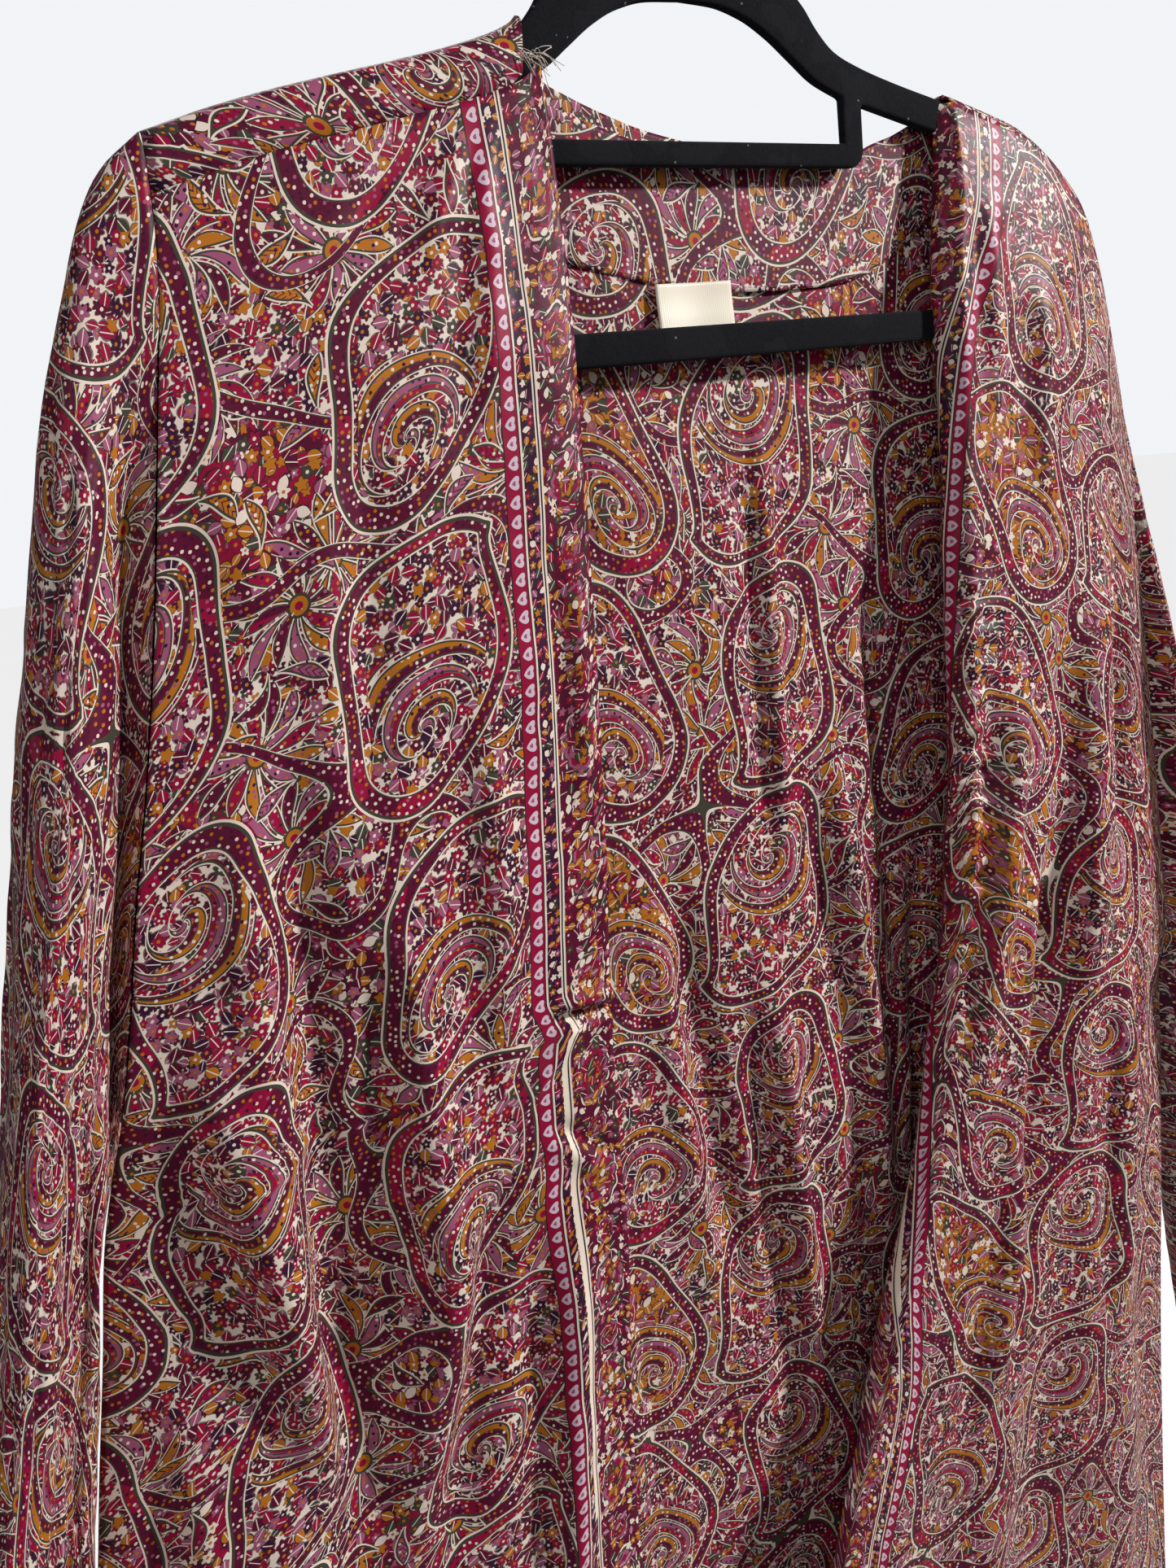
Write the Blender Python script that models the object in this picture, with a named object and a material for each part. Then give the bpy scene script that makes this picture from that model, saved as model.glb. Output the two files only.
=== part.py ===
# A kimono robe on a flat velvet covered hanger: loose cut cloth pieces hung over the arms.
import math

import bmesh
import bpy
import numpy as np
from mathutils import Vector

for old in list(bpy.data.objects):
    bpy.data.objects.remove(old, do_unlink=True)

MM = 0.001
CLOTH = 1.2            # wall of the robe's cloth with its hems
FACING = 1.0           # wall of the neck facing and of one layer of the label
SEAM = 0.3             # gap between two pieces at a seam
HEM_Z = -1270.0        # height of the hem below the hook's hang point
FRAME_THICK = 5.5      # hanger frame, front to back
FRAME_ROUND = 1.9      # rounding of the frame's edges
WIRE = 3.4             # diameter of the hook's wire
HOOK_RADIUS = 21.0     # centre line of the hook's bend
CREST_LIFT = 0.6       # middle of the cloth above the line it was read on
CREST = 4.4            # half the depth of the cloth where it lies over an arm
SHOULDER_SEAM = 22.0   # the left shoulder seam lies this far forward of the crest
RIGHT_SEAM = 4.0       # the right one lies nearly on the crest
ARMHOLE_DEPTH = 12.0   # half the opening of an armhole, front to back

robe = bpy.data.collections.new("kimono_robe_on_hanger")
bpy.context.scene.collection.children.link(robe)


def material(name, colour, rough, metal=0.0):
    made = bpy.data.materials.new(name)
    made.use_nodes = True
    shader = made.node_tree.nodes["Principled BSDF"]
    shader.inputs["Base Color"].default_value = (*colour, 1.0)
    shader.inputs["Roughness"].default_value = rough
    shader.inputs["Metallic"].default_value = metal
    made.diffuse_color = (*colour, 1.0)
    return made


def smooth(value):
    value = np.clip(value, 0.0, 1.0)
    return value * value * (3.0 - 2.0 * value)


def curve(table, at):
    """Read a table of (position, value) rows as a curve without overshoot."""
    rows = sorted(table)
    px = np.array([row[0] for row in rows], float)
    py = np.array([row[1] for row in rows], float)
    step = np.diff(px)
    slope = np.diff(py) / step
    lean = np.zeros(len(px))
    lean[0], lean[-1] = slope[0], slope[-1]
    for i in range(1, len(px) - 1):
        if slope[i - 1] * slope[i] > 0.0:
            w1 = 2.0 * step[i] + step[i - 1]
            w2 = step[i] + 2.0 * step[i - 1]
            lean[i] = (w1 + w2) / (w1 / slope[i - 1] + w2 / slope[i])
    at = np.clip(np.asarray(at, float), px[0], px[-1])
    i = np.clip(np.searchsorted(px, at) - 1, 0, len(step) - 1)
    t = (at - px[i]) / step[i]
    return ((2 * t**3 - 3 * t**2 + 1) * py[i] + (t**3 - 2 * t**2 + t) * step[i] * lean[i]
            + (3 * t**2 - 2 * t**3) * py[i + 1] + (t**3 - t**2) * step[i] * lean[i + 1])


def finish_mesh(name, verts, faces, finish):
    mesh = bpy.data.meshes.new(name)
    mesh.from_pydata([Vector(v) * MM for v in verts], [], faces)
    body = bmesh.new()
    body.from_mesh(mesh)
    bmesh.ops.recalc_face_normals(body, faces=body.faces)
    if body.calc_volume(signed=True) < 0.0:
        bmesh.ops.reverse_faces(body, faces=body.faces)
    body.to_mesh(mesh)
    body.free()
    mesh.materials.append(finish)
    piece = bpy.data.objects.new(name, mesh)
    robe.objects.link(piece)
    return piece


def cloth(name, mid, wall, finish, ring=False, seams=()):
    """Thicken a grid of points into one closed body.

    mid holds rows down the piece and columns across it, in millimetres. ring
    joins the last column to the first. seams lists the edges that meet another
    piece, and the direction from one piece to the other: the wall stands square
    to it there, so that the gap at the seam stays even.
    """
    mid = np.asarray(mid, float)
    rows, cols = mid.shape[:2]
    points = mid.reshape(-1, 3)
    spans = cols if ring else cols - 1
    split = []
    for r in range(rows - 1):
        for c in range(spans):
            d = (c + 1) % cols
            a, b, e, f = r * cols + c, r * cols + d, (r + 1) * cols + d, (r + 1) * cols + c
            split += [(a, b, e), (a, e, f)]
    split_points = points[np.array(split)]
    slant = np.cross(split_points[:, 1] - split_points[:, 0], split_points[:, 2] - split_points[:, 0])
    normal = np.zeros_like(points)
    for index in np.array(split).T:
        np.add.at(normal, index, slant)
    normal = normal.reshape(rows, cols, 3)
    for where, heading in seams:
        heading = np.array(heading, float)
        normal[where] -= (normal[where] @ heading)[..., None] * heading
    normal /= np.linalg.norm(normal, axis=2, keepdims=True)
    out, back = mid + normal * wall / 2, mid - normal * wall / 2
    verts = np.concatenate([out.reshape(-1, 3), back.reshape(-1, 3)])
    # Both sides of the cloth are split along the same diagonals, so the wall stays even
    other = rows * cols
    faces = split + [(other + three, other + two, other + one) for one, two, three in split]
    for c in range(spans):
        d = (c + 1) % cols
        faces.append((c, other + c, other + d, d))
        a, b = (rows - 1) * cols + c, (rows - 1) * cols + d
        faces.append((a, b, other + b, other + a))
    if not ring:
        for r in range(rows - 1):
            a, b = r * cols, (r + 1) * cols
            faces.append((a, b, other + b, other + a))
            a, b = r * cols + cols - 1, (r + 1) * cols + cols - 1
            faces.append((a, other + a, other + b, b))
    return finish_mesh(name, verts, faces, finish)


FIRST_ROW, FIRST_COL, LAST_COL = np.s_[0, :], np.s_[:, 0], np.s_[:, -1]
SIDEWAYS, UPRIGHT = (1.0, 0.0, 0.0), (0.0, 0.0, 1.0)


# Materials, plain until the looks are made
silk = material("printed_silk", (0.33, 0.07, 0.15), 0.45)
facing_silk = material("facing_silk", (0.30, 0.08, 0.14), 0.5)
label_satin = material("label_satin", (0.86, 0.79, 0.66), 0.5)
velvet = material("black_velvet", (0.012, 0.012, 0.014), 0.95)
steel = material("bright_steel", (0.72, 0.72, 0.72), 0.25, 1.0)

# Hanger frame: one flat moulding with a humped neck, two sloping arms and a bottom bar
# columns: x from the middle, z below the hang point
ARM_TOP = [(0, -62.0), (30, -64.0), (50, -68.0), (62, -73.5), (69, -79.5), (76, -88.5), (86, -97.5),
           (101, -103.5), (124, -109.8), (153, -116.4), (180, -122.6), (202, -128.2), (214, -134.0)]
SHOULDER_END = [(221.5, -142.0), (225.5, -153.0), (226.5, -168.0), (226.5, -198.0), (223.0, -213.0),
                (215.0, -224.5), (203.0, -230.5)]
HUMP_UNDER = [(0, -81.0), (17, -82.0), (33, -86.0), (47, -93.0), (60, -102.0), (73, -111.0), (89, -117.5)]
LOOP_OUT = [(101.5, -120.5), (133, -127.8), (160, -134.0), (188, -140.6), (203, -146.5), (211, -156.0),
            (213, -170.0), (212.5, -192.0), (208.5, -205.0), (199.0, -213.6), (184.0, -216.0)]
TILT = 0.008           # the hanger hangs a little lower on the left
TIE_TOP_Z, TIE_LOW_Z = -137.6, -148.2
STRUT_IN, STRUT_OUT = 89.0, 101.5
BAR_TOP_Z, BAR_LOW_Z = -216.0, -231.0
HOLE_CORNER = 4.0      # rounding of the long hole where the tie bar meets a strut


def mirrored(right_side):
    """A closed outline from its right half, which runs from top to bottom."""
    left_side = [(-x, z) for x, z in reversed(right_side) if x > 0.0]
    return right_side + left_side


def drawn_in(loop, by):
    """Move a closed outline sideways by a distance, inwards for a clockwise one."""
    points = np.array(loop, float)
    ahead = np.roll(points, -1, 0) - points
    ahead /= np.linalg.norm(ahead, axis=1, keepdims=True)
    behind = np.roll(ahead, 1, 0)
    side_a = np.stack([ahead[:, 1], -ahead[:, 0]], 1)
    side_b = np.stack([behind[:, 1], -behind[:, 0]], 1)
    both = side_a + side_b
    both /= np.maximum(np.sum(both * side_a, axis=1, keepdims=True), 0.4)
    return points + both * by


frame_outline = mirrored(ARM_TOP + SHOULDER_END + [(0.01, BAR_LOW_Z)])
neck_hole = mirrored(HUMP_UNDER + [(STRUT_IN, TIE_TOP_Z), (0.01, TIE_TOP_Z)])
loop_hole = mirrored([(0.01, TIE_LOW_Z), (STRUT_OUT - 2.2 * HOLE_CORNER, TIE_LOW_Z),
                      (STRUT_OUT - 0.8 * HOLE_CORNER, TIE_LOW_Z + 0.3 * HOLE_CORNER),
                      (STRUT_OUT, TIE_LOW_Z + 2.0 * HOLE_CORNER)] + LOOP_OUT + [(0.01, BAR_TOP_Z)])

half = FRAME_THICK / 2
layers = [(-half, FRAME_ROUND), (-half + FRAME_ROUND, 0.0), (half - FRAME_ROUND, 0.0), (half, FRAME_ROUND)]
frame_verts, frame_faces = [], []
face_rims = {0: [], len(layers) - 1: []}
for loop, sign in [(frame_outline, 1.0), (neck_hole, -1.0), (loop_hole, -1.0)]:
    count = len(loop)
    start = len(frame_verts)
    for level, (depth, inset) in enumerate(layers):
        frame_verts += [(x, depth, z + TILT * x) for x, z in drawn_in(loop, sign * inset)]
        if level in face_rims:
            face_rims[level].append(range(start + level * count, start + (level + 1) * count))
    for level in range(len(layers) - 1):
        low, high = start + level * count, start + (level + 1) * count
        for i in range(count):
            j = (i + 1) % count
            frame_faces.append((low + i, low + j, high + j, high + i))
for level, rims in face_rims.items():
    flat = bmesh.new()
    edges, named = [], {}
    for rim in rims:
        ring = [flat.verts.new((frame_verts[i][0], frame_verts[i][2], 0.0)) for i in rim]
        named.update(zip(ring, rim))
        edges += [flat.edges.new((ring[i - 1], ring[i])) for i in range(len(ring))]
    filled = bmesh.ops.triangle_fill(flat, use_beauty=True, use_dissolve=False, edges=edges)
    frame_faces += [tuple(named[v] for v in item.verts) for item in filled["geom"]
                    if isinstance(item, bmesh.types.BMFace)]
    flat.free()
finish_mesh("hanger_frame", frame_verts, frame_faces, velvet)

# Hanger hook: bent wire standing on the hump, its inner top is the hang point
ring_z = -(HOOK_RADIUS - WIRE / 2)
path = [(0.0, -61.6), (0.0, -56.0), (0.3, -51.0), (2.4, -46.0), (7.0, -40.4)]
path += [(HOOK_RADIUS * math.cos(math.radians(a)), ring_z + HOOK_RADIUS * math.sin(math.radians(a)))
         for a in range(-52, 199, 14)]
wire_verts, wire_faces = [], []
SIDES = 12             # flats round the wire
for i, (x, z) in enumerate(path):
    before, after = path[max(i - 1, 0)], path[min(i + 1, len(path) - 1)]
    heading = Vector((after[0] - before[0], 0.0, after[1] - before[1])).normalized()
    across = Vector((heading.z, 0.0, -heading.x))
    for s in range(SIDES):
        turn = 2.0 * math.pi * s / SIDES
        spot = Vector((x, 0.0, z)) + (across * math.cos(turn) + Vector((0, 1, 0)) * math.sin(turn)) * WIRE / 2
        wire_verts.append(tuple(spot))
for i in range(len(path) - 1):
    for s in range(SIDES):
        t = (s + 1) % SIDES
        a, b = i * SIDES, (i + 1) * SIDES
        wire_faces.append((a + s, a + t, b + t, b + s))
wire_faces.append(tuple(range(SIDES)))
wire_faces.append(tuple((len(path) - 1) * SIDES + s for s in range(SIDES)))
finish_mesh("hanger_hook", wire_verts, wire_faces, steel)

# The robe's lines, read down the body. columns: z, x
CREST_LINE = [(-242.0, -140.0), (-228, -135.4), (-206, -128.2), (-180, -121.6), (-150, -114.5), (-124, -108.1),
              (-101, -101.6), (-86, -95.4), (-76, -85.9), (160, -114.2), (180, -119.4), (202, -124.8),
              (214, -129.8), (226, -136.0), (242, -147.5), (254, -159.5), (265, -177.5), (272, -199.0),
              (279.0, -230.0)]
LEFT_SIDE = [(-139, -242), (-173, -245), (-193, -248), (-239, -258), (-298, -271), (-319, -276), (-370, -289),
             (-418, -303), (-477, -318), (-523, -332), (-565, -345), (-623, -357), (-697, -374), (-800, -391),
             (-950, -408), (-1100, -418), (HEM_Z, -426)]
RIGHT_SIDE = [(-230, 279), (-263, 282), (-302, 286), (-350, 291), (-400, 297), (-500, 309), (-600, 321),
              (-653, 327), (-749, 329), (-829, 329), (-917, 328), (-1048, 330), (-1168, 333), (HEM_Z, 336)]
LEFT_EDGE = [(-119, -79), (-189, -79.5), (-232, -82), (-282, -86), (-428, -99), (-500, -107), (-581, -113),
             (-654, -117), (-703, -123), (-813, -132), (-1000, -146), (HEM_Z, -162)]
RIGHT_EDGE = [(-117, 154), (-182, 153), (-274, 149), (-487, 137), (-523, 133), (-606, 115), (-675, 98),
              (-745, 77), (-787, 58), (-856, 30), (-898, 10), (-1000, -20), (-1130, -44), (HEM_Z, -60)]
# x and z of the underarm points, and of the armholes' highest points
UNDERARM_L, UNDERARM_R = (-332.0, -523.0), (327.0, -653.0)
ARM_L, ARM_R = (-242.0, -140.0), (279.0, -230.0)
BACK_SLACK, FRONT_SLACK = 9.0, 15.0    # how far the panels come to hang out from the hanger


def crest_z(x):
    return curve(CREST_LINE, x) + CREST_LIFT


def crest_slope(x):
    return (crest_z(x + 1.5) - crest_z(x - 1.5)) / 3.0


def armhole_depth(z, arm, underarm):
    """Half the opening of an armhole at a height, nothing below the underarm."""
    share = np.clip((z - underarm[1]) / (arm[1] + CREST_LIFT - underarm[1]), 0.0, 1.0)
    return ARMHOLE_DEPTH * (4.0 * share * (1.0 - share)) ** 0.32


def ridge(x, z, folds):
    """Sum of long soft folds. Each row: x and z at the top, x and z at the foot,
    half width, height (towards the outside), share of the length it fades over."""
    total = np.zeros_like(x)
    for x0, z0, x1, z1, wide, high, fade in folds:
        along = (z - z0) / (z1 - z0)
        centre = x0 + (x1 - x0) * along
        held = smooth(along / fade) * smooth((1.35 - along) / 0.35)
        spread = wide * (0.75 + 0.5 * np.clip(along, 0.0, 1.0))
        total += high * held * np.exp(-((x - centre) / spread) ** 2)
    return total


# columns: x top, z top, x foot, z foot, half width, height, fade
FRONT_LEFT_FOLDS = [(-236, -330, -292, -1270, 26, -9.0, 0.30), (-205, -430, -232, -1270, 24, 6.0, 0.4),
                    (-160, -560, -262, -900, 20, -7.0, 0.35), (-318, -560, -352, -1270, 24, 9.0, 0.3),
                    (-150, -700, -186, -1270, 24, 8.0, 0.4), (-385, -760, -392, -1270, 20, -5.0, 0.4)]
FRONT_RIGHT_FOLDS = [(172, -420, 70, -1270, 24, 8.0, 0.3), (212, -360, 150, -1270, 22, -6.5, 0.4),
                     (250, -300, 232, -1270, 26, 7.0, 0.4), (150, -640, 8, -1270, 22, -6.0, 0.3),
                     (298, -640, 290, -1270, 20, -5.0, 0.4)]
BACK_FOLDS = [(-300, -520, -330, -1270, 30, 6.0, 0.3), (-170, -420, -190, -1270, 34, -5.0, 0.4),
              (-40, -330, -70, -1270, 36, 7.0, 0.4), (62, -380, 54, -1270, 26, -6.5, 0.3),
              (128, -420, 150, -1270, 30, 8.0, 0.4), (236, -520, 250, -1270, 30, -4.5, 0.4)]


def body_depth(x, z, drop, side_x, arm, underarm, slack, folds):
    """Distance of a body panel from the middle plane, front to back."""
    below = drop / np.sqrt(1.0 + crest_slope(x) ** 2)
    root = np.sqrt(np.clip(1.0 - (1.0 - np.minimum(below, CREST) / CREST) ** 2, 0.0, 1.0))
    hang = CREST * root + 3.4 * (1.0 - np.exp(-below / 8.0)) + slack * (1.0 - np.exp(-below / 170.0))
    hang = hang + ridge(x, z, folds)
    edge_z = np.minimum(z, arm[1] + CREST_LIFT - drop)
    closed = (CLOTH + SEAM) / 2 * (edge_z < underarm[1] + 60.0)
    at_edge = np.maximum(armhole_depth(edge_z, arm, underarm), closed)
    inward = smooth(np.abs(x - side_x) / 70.0)
    return at_edge + (hang - at_edge) * inward


# Back panel: cut in one, carried over the arms to the shoulder seams
# columns: x, height of the top edge above the crest if in front of it, below it if behind
NECK = [(-87.6, 20.8), (-85.8, 14.0), (-84.4, 7.5), (-83.2, 3.0), (-82.0, -0.5), (-80.9, -4.0), (-79.5, -9.0),
        (-76.9, -16.8), (-70.0, -27.0), (-60.0, -31.5), (-44.0, -37.0), (-22.0, -42.5), (0.0, -45.0),
        (25.0, -46.5), (50.0, -46.0), (75.0, -43.0), (100.0, -36.5), (120.0, -27.0), (137.0, -17.5),
        (147.4, -10.5), (151.9, -5.5), (154.6, -2.0), (156.4, 0.5), (158.4, RIGHT_SEAM)]
LEFT_TOP = [(x, SHOULDER_SEAM) for x in (-242.0, -218.0, -194.0, -168.0, -140.0, -112.0, -92.0)]
RIGHT_TOP = [(x, RIGHT_SEAM) for x in (174.0, 190.0, 206.0, 222.0, 238.0, 252.0, 264.0, 272.0, 279.0)]
# heights of the upper rows above and below the crest, and the least step between two of them
OVER_SHOULDER = [22.0, 12.0, 5.5, 1.8, 0.0, -1.8, -5.5, -12.0, -24.0, -40.0]
LEAST_STEP = 0.7
FRONT_TOP = [SEAM, 9.0, 22.0, 40.0]
ARMHOLE_ROWS = [0.09, 0.20, 0.32, 0.44, 0.56, 0.68, 0.80, 0.91, 1.0]     # shares down to the underarm
SKIRT_ROWS = [0.045, 0.11, 0.19, 0.28, 0.38, 0.48, 0.58, 0.68, 0.78, 0.88, 0.95, 1.0]   # and to the hem


def upper_rows(top_run):
    """Heights about the crest of the upper rows, below a top edge at top_run."""
    step = LEAST_STEP + 1.2 * np.clip(-top_run / 46.0, 0.0, 1.0)
    return [np.minimum(over, top_run - step * k) for k, over in enumerate(OVER_SHOULDER)]


def near_side(x, side_x):
    """One at a side edge, nothing 60 mm away from it."""
    return (1.0 - np.clip(np.abs(x - side_x) / 60.0, 0.0, 1.0)) ** 2


def shares_below(yoke, underarm_z):
    """Rows down a side edge, as shares of the way from the yoke to the hem."""
    armhole = [yoke + (underarm_z - yoke) * share for share in ARMHOLE_ROWS]
    heights = armhole + [underarm_z + (HEM_Z - underarm_z) * share for share in SKIRT_ROWS]
    return (yoke - np.array(heights)) / (yoke - HEM_Z)


top_edge = LEFT_TOP + NECK + RIGHT_TOP
top_x = np.array([row[0] for row in top_edge])
top_run = np.array([row[1] for row in top_edge])
girth = np.concatenate([[0.0], np.cumsum(np.maximum(np.abs(np.diff(top_x)), 5.5))])
girth /= girth[-1]
hem_x = curve(LEFT_SIDE, HEM_Z) + (curve(RIGHT_SIDE, HEM_Z) - curve(LEFT_SIDE, HEM_Z)) * girth
back_rows = []
for run in upper_rows(top_run):
    height = crest_z(top_x) - np.abs(run)
    x = top_x + (curve(LEFT_SIDE, height[0]) - top_x[0]) * near_side(top_x, top_x[0])
    x = x + (curve(RIGHT_SIDE, height[-1]) - top_x[-1]) * near_side(top_x, top_x[-1])
    back_rows.append((x, crest_z(top_x) + run, run))
yoke_z = back_rows[-1][1]
for left_share, right_share in zip(shares_below(yoke_z[0], UNDERARM_L[1]), shares_below(yoke_z[-1], UNDERARM_R[1])):
    share = left_share + (right_share - left_share) * girth
    z = yoke_z + (HEM_Z - yoke_z) * share
    x = top_x + (hem_x - top_x) * smooth(share * 1.15) ** 0.9
    left_gap = curve(LEFT_SIDE, z[0]) - x[0]
    right_gap = curve(RIGHT_SIDE, z[-1]) - x[-1]
    x = x + left_gap * (1.0 - girth) + right_gap * girth
    back_rows.append((x, z, np.minimum(z - crest_z(x), -0.01)))


def back_depth(x, z, drop):
    left = body_depth(x, z, drop, curve(LEFT_SIDE, z), ARM_L, UNDERARM_L, BACK_SLACK, BACK_FOLDS)
    right = body_depth(x, z, drop, curve(RIGHT_SIDE, z), ARM_R, UNDERARM_R, BACK_SLACK, BACK_FOLDS)
    return np.where(x < 60.0, left, right)


back_mid = []
for x, z, wrap in back_rows:
    height = np.where(wrap > 0.0, crest_z(x) - wrap, z)
    y = back_depth(x, height, np.abs(wrap)) * np.where(wrap > 0.0, -1.0, 1.0)
    back_mid.append(np.stack([x, y, height], 1))
back_mid = np.array(back_mid)
on_shoulder = [c for c in range(len(top_edge)) if top_run[c] in (SHOULDER_SEAM, RIGHT_SEAM)]
cloth("back_panel", back_mid, CLOTH, silk,
      seams=[(np.s_[0, on_shoulder], UPRIGHT), (FIRST_COL, SIDEWAYS), (LAST_COL, SIDEWAYS)])


# Front panels: from the shoulder seam to the hem, the free edge in the middle
# columns: z, width of the turned-in edge of the right front
TURNED_IN = [(-115, 5), (-274, 9), (-350, 14), (-487, 26), (-560, 25), (-650, 14), (-745, 8), (HEM_Z, 7)]
# columns: x and y of the turned-in edge's columns, as shares of its width
TURN_STEPS = [(-0.34, 0.16), (-0.62, 0.46)]
LEFT_FRONT_TOP = [x for x, run in LEFT_TOP] + [-85.0, -79.0]
RIGHT_FRONT_TOP = [x for x, run in RIGHT_TOP[::-1]] + [158.5]


def front_panel(name, top_line, side_table, edge_table, underarm, arm, seam_run, folds, turn_in):
    """A front from the shoulder seam to the hem, its columns from the side seam to the free edge."""
    tops = np.array(top_line)
    share_in = np.abs(tops - tops[0]) / abs(tops[-1] - tops[0])
    rows = []
    for down_run in FRONT_TOP:
        run = seam_run + np.maximum(down_run, SEAM * np.sqrt(1.0 + crest_slope(tops) ** 2))
        z = crest_z(tops) - run
        rows.append((tops + (curve(side_table, z[0]) - tops[0]) * near_side(tops, tops[0]), z, run))
    yoke = rows[-1][1]
    for share in shares_below(yoke[0], underarm[1]):
        z = yoke + (HEM_Z - yoke) * share
        outer, inner = curve(side_table, z[0]), curve(edge_table, z[-1])
        x = outer + (inner - outer) * share_in
        keep_top = 1.0 - smooth(share / 0.12)
        settled = tops + (outer - tops[0]) * (1 - share_in) + (inner - tops[-1]) * share_in
        rows.append((x * (1.0 - keep_top) + settled * keep_top, z, crest_z(x) - z))
    mid = []
    for x, z, drop in rows:
        y = -body_depth(x, z, np.maximum(drop, 0.0), curve(side_table, z), arm, underarm, FRONT_SLACK, folds)
        points = [*np.stack([x, y, z], 1)]
        for turn_x, turn_y in TURN_STEPS if turn_in else []:
            points.append(points[len(tops) - 1] + np.array([turn_x, turn_y, 0.0]) * curve(turn_in, z[-1]))
        mid.append(points)
    cloth(name, mid, CLOTH, silk, seams=[(np.s_[0, :len(tops)], UPRIGHT), (FIRST_COL, SIDEWAYS)])


front_panel("front_left", LEFT_FRONT_TOP, LEFT_SIDE, LEFT_EDGE, UNDERARM_L, ARM_L, SHOULDER_SEAM, FRONT_LEFT_FOLDS, None)
front_panel("front_right", RIGHT_FRONT_TOP, RIGHT_SIDE, RIGHT_EDGE, UNDERARM_R, ARM_R, RIGHT_SEAM, FRONT_RIGHT_FOLDS,
            TURNED_IN)

# Sleeves: each a rectangle folded over the top and joined under the arm
# columns: share along the sleeve, x top, z top, x under, z under, half depth, outward bow of the fold
SLEEVE_LEFT = [(0.00, -242.0, -140.0, -332.0, -523.0, 12.0, 0.0), (0.05, -258.0, -153.0, -339.5, -543.0, 13.0, 0.0),
               (0.10, -270.0, -171.0, -347.0, -565.0, 17.0, 0.0), (0.18, -284.0, -203.0, -357.0, -603.0, 23.0, 1.0),
               (0.30, -305.0, -269.0, -372.0, -660.0, 27.0, 3.0), (0.45, -328.0, -346.0, -389.0, -738.0, 30.0, 5.0),
               (0.60, -348.0, -423.0, -403.0, -812.0, 32.0, 9.0), (0.75, -369.0, -500.0, -415.0, -880.0, 33.0, 14.0),
               (0.90, -390.0, -570.0, -426.0, -935.0, 33.0, 20.0), (1.00, -404.0, -606.0, -434.0, -968.0, 32.0, 24.0)]
SLEEVE_RIGHT = [(0.00, 279.0, -230.0, 327.0, -653.0, 12.0, 0.0), (0.05, 284.0, -256.0, 334.0, -657.0, 13.0, 0.0),
                (0.10, 289.0, -281.0, 340.5, -669.0, 17.0, 0.0), (0.18, 297.0, -322.0, 347.5, -700.0, 23.0, 0.0),
                (0.30, 312.0, -386.0, 355.0, -755.0, 27.0, 1.0), (0.45, 334.0, -466.0, 362.0, -832.0, 30.0, 4.0),
                (0.60, 351.0, -540.0, 368.0, -905.0, 32.0, 8.0), (0.75, 369.0, -610.0, 374.0, -975.0, 33.0, 13.0),
                (0.90, 387.0, -682.0, 379.0, -1042.0, 33.0, 19.0), (1.00, 400.0, -726.0, 383.0, -1082.0, 32.0, 23.0)]
ALONG = [0.0, 0.02, 0.04, 0.06, 0.08, 0.105, 0.13, 0.16, 0.19, 0.225, 0.26, 0.30, 0.34, 0.39, 0.45, 0.52,
         0.59, 0.66, 0.73, 0.80, 0.87, 0.94, 1.0]


def armhole_heights(arm, underarm, seam_run):
    """Heights round an armhole: up the front, over the crest and down the back,
    where the rows of the panels end, so the two edges follow each other."""
    top = float(crest_z(arm[0]))
    front_yoke = top - seam_run - FRONT_TOP[-1]
    front = [front_yoke + (underarm[1] - front_yoke) * share for share in ARMHOLE_ROWS[::-1]]
    front += [front_yoke] + [top - seam_run - run for run in FRONT_TOP[2:0:-1]]
    over = [float(run) for run in upper_rows(seam_run)]
    front += [top - run for run, after in zip(over[:4], over[1:5]) if run - after > 1.0]
    back = [top + run for run in over[4:]]
    back_yoke = back[-1]
    back += [back_yoke + (underarm[1] - back_yoke) * share for share in ARMHOLE_ROWS[:-1]]
    return np.array(front + back), np.array([-1.0] * len(front) + [1.0] * len(back))


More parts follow.
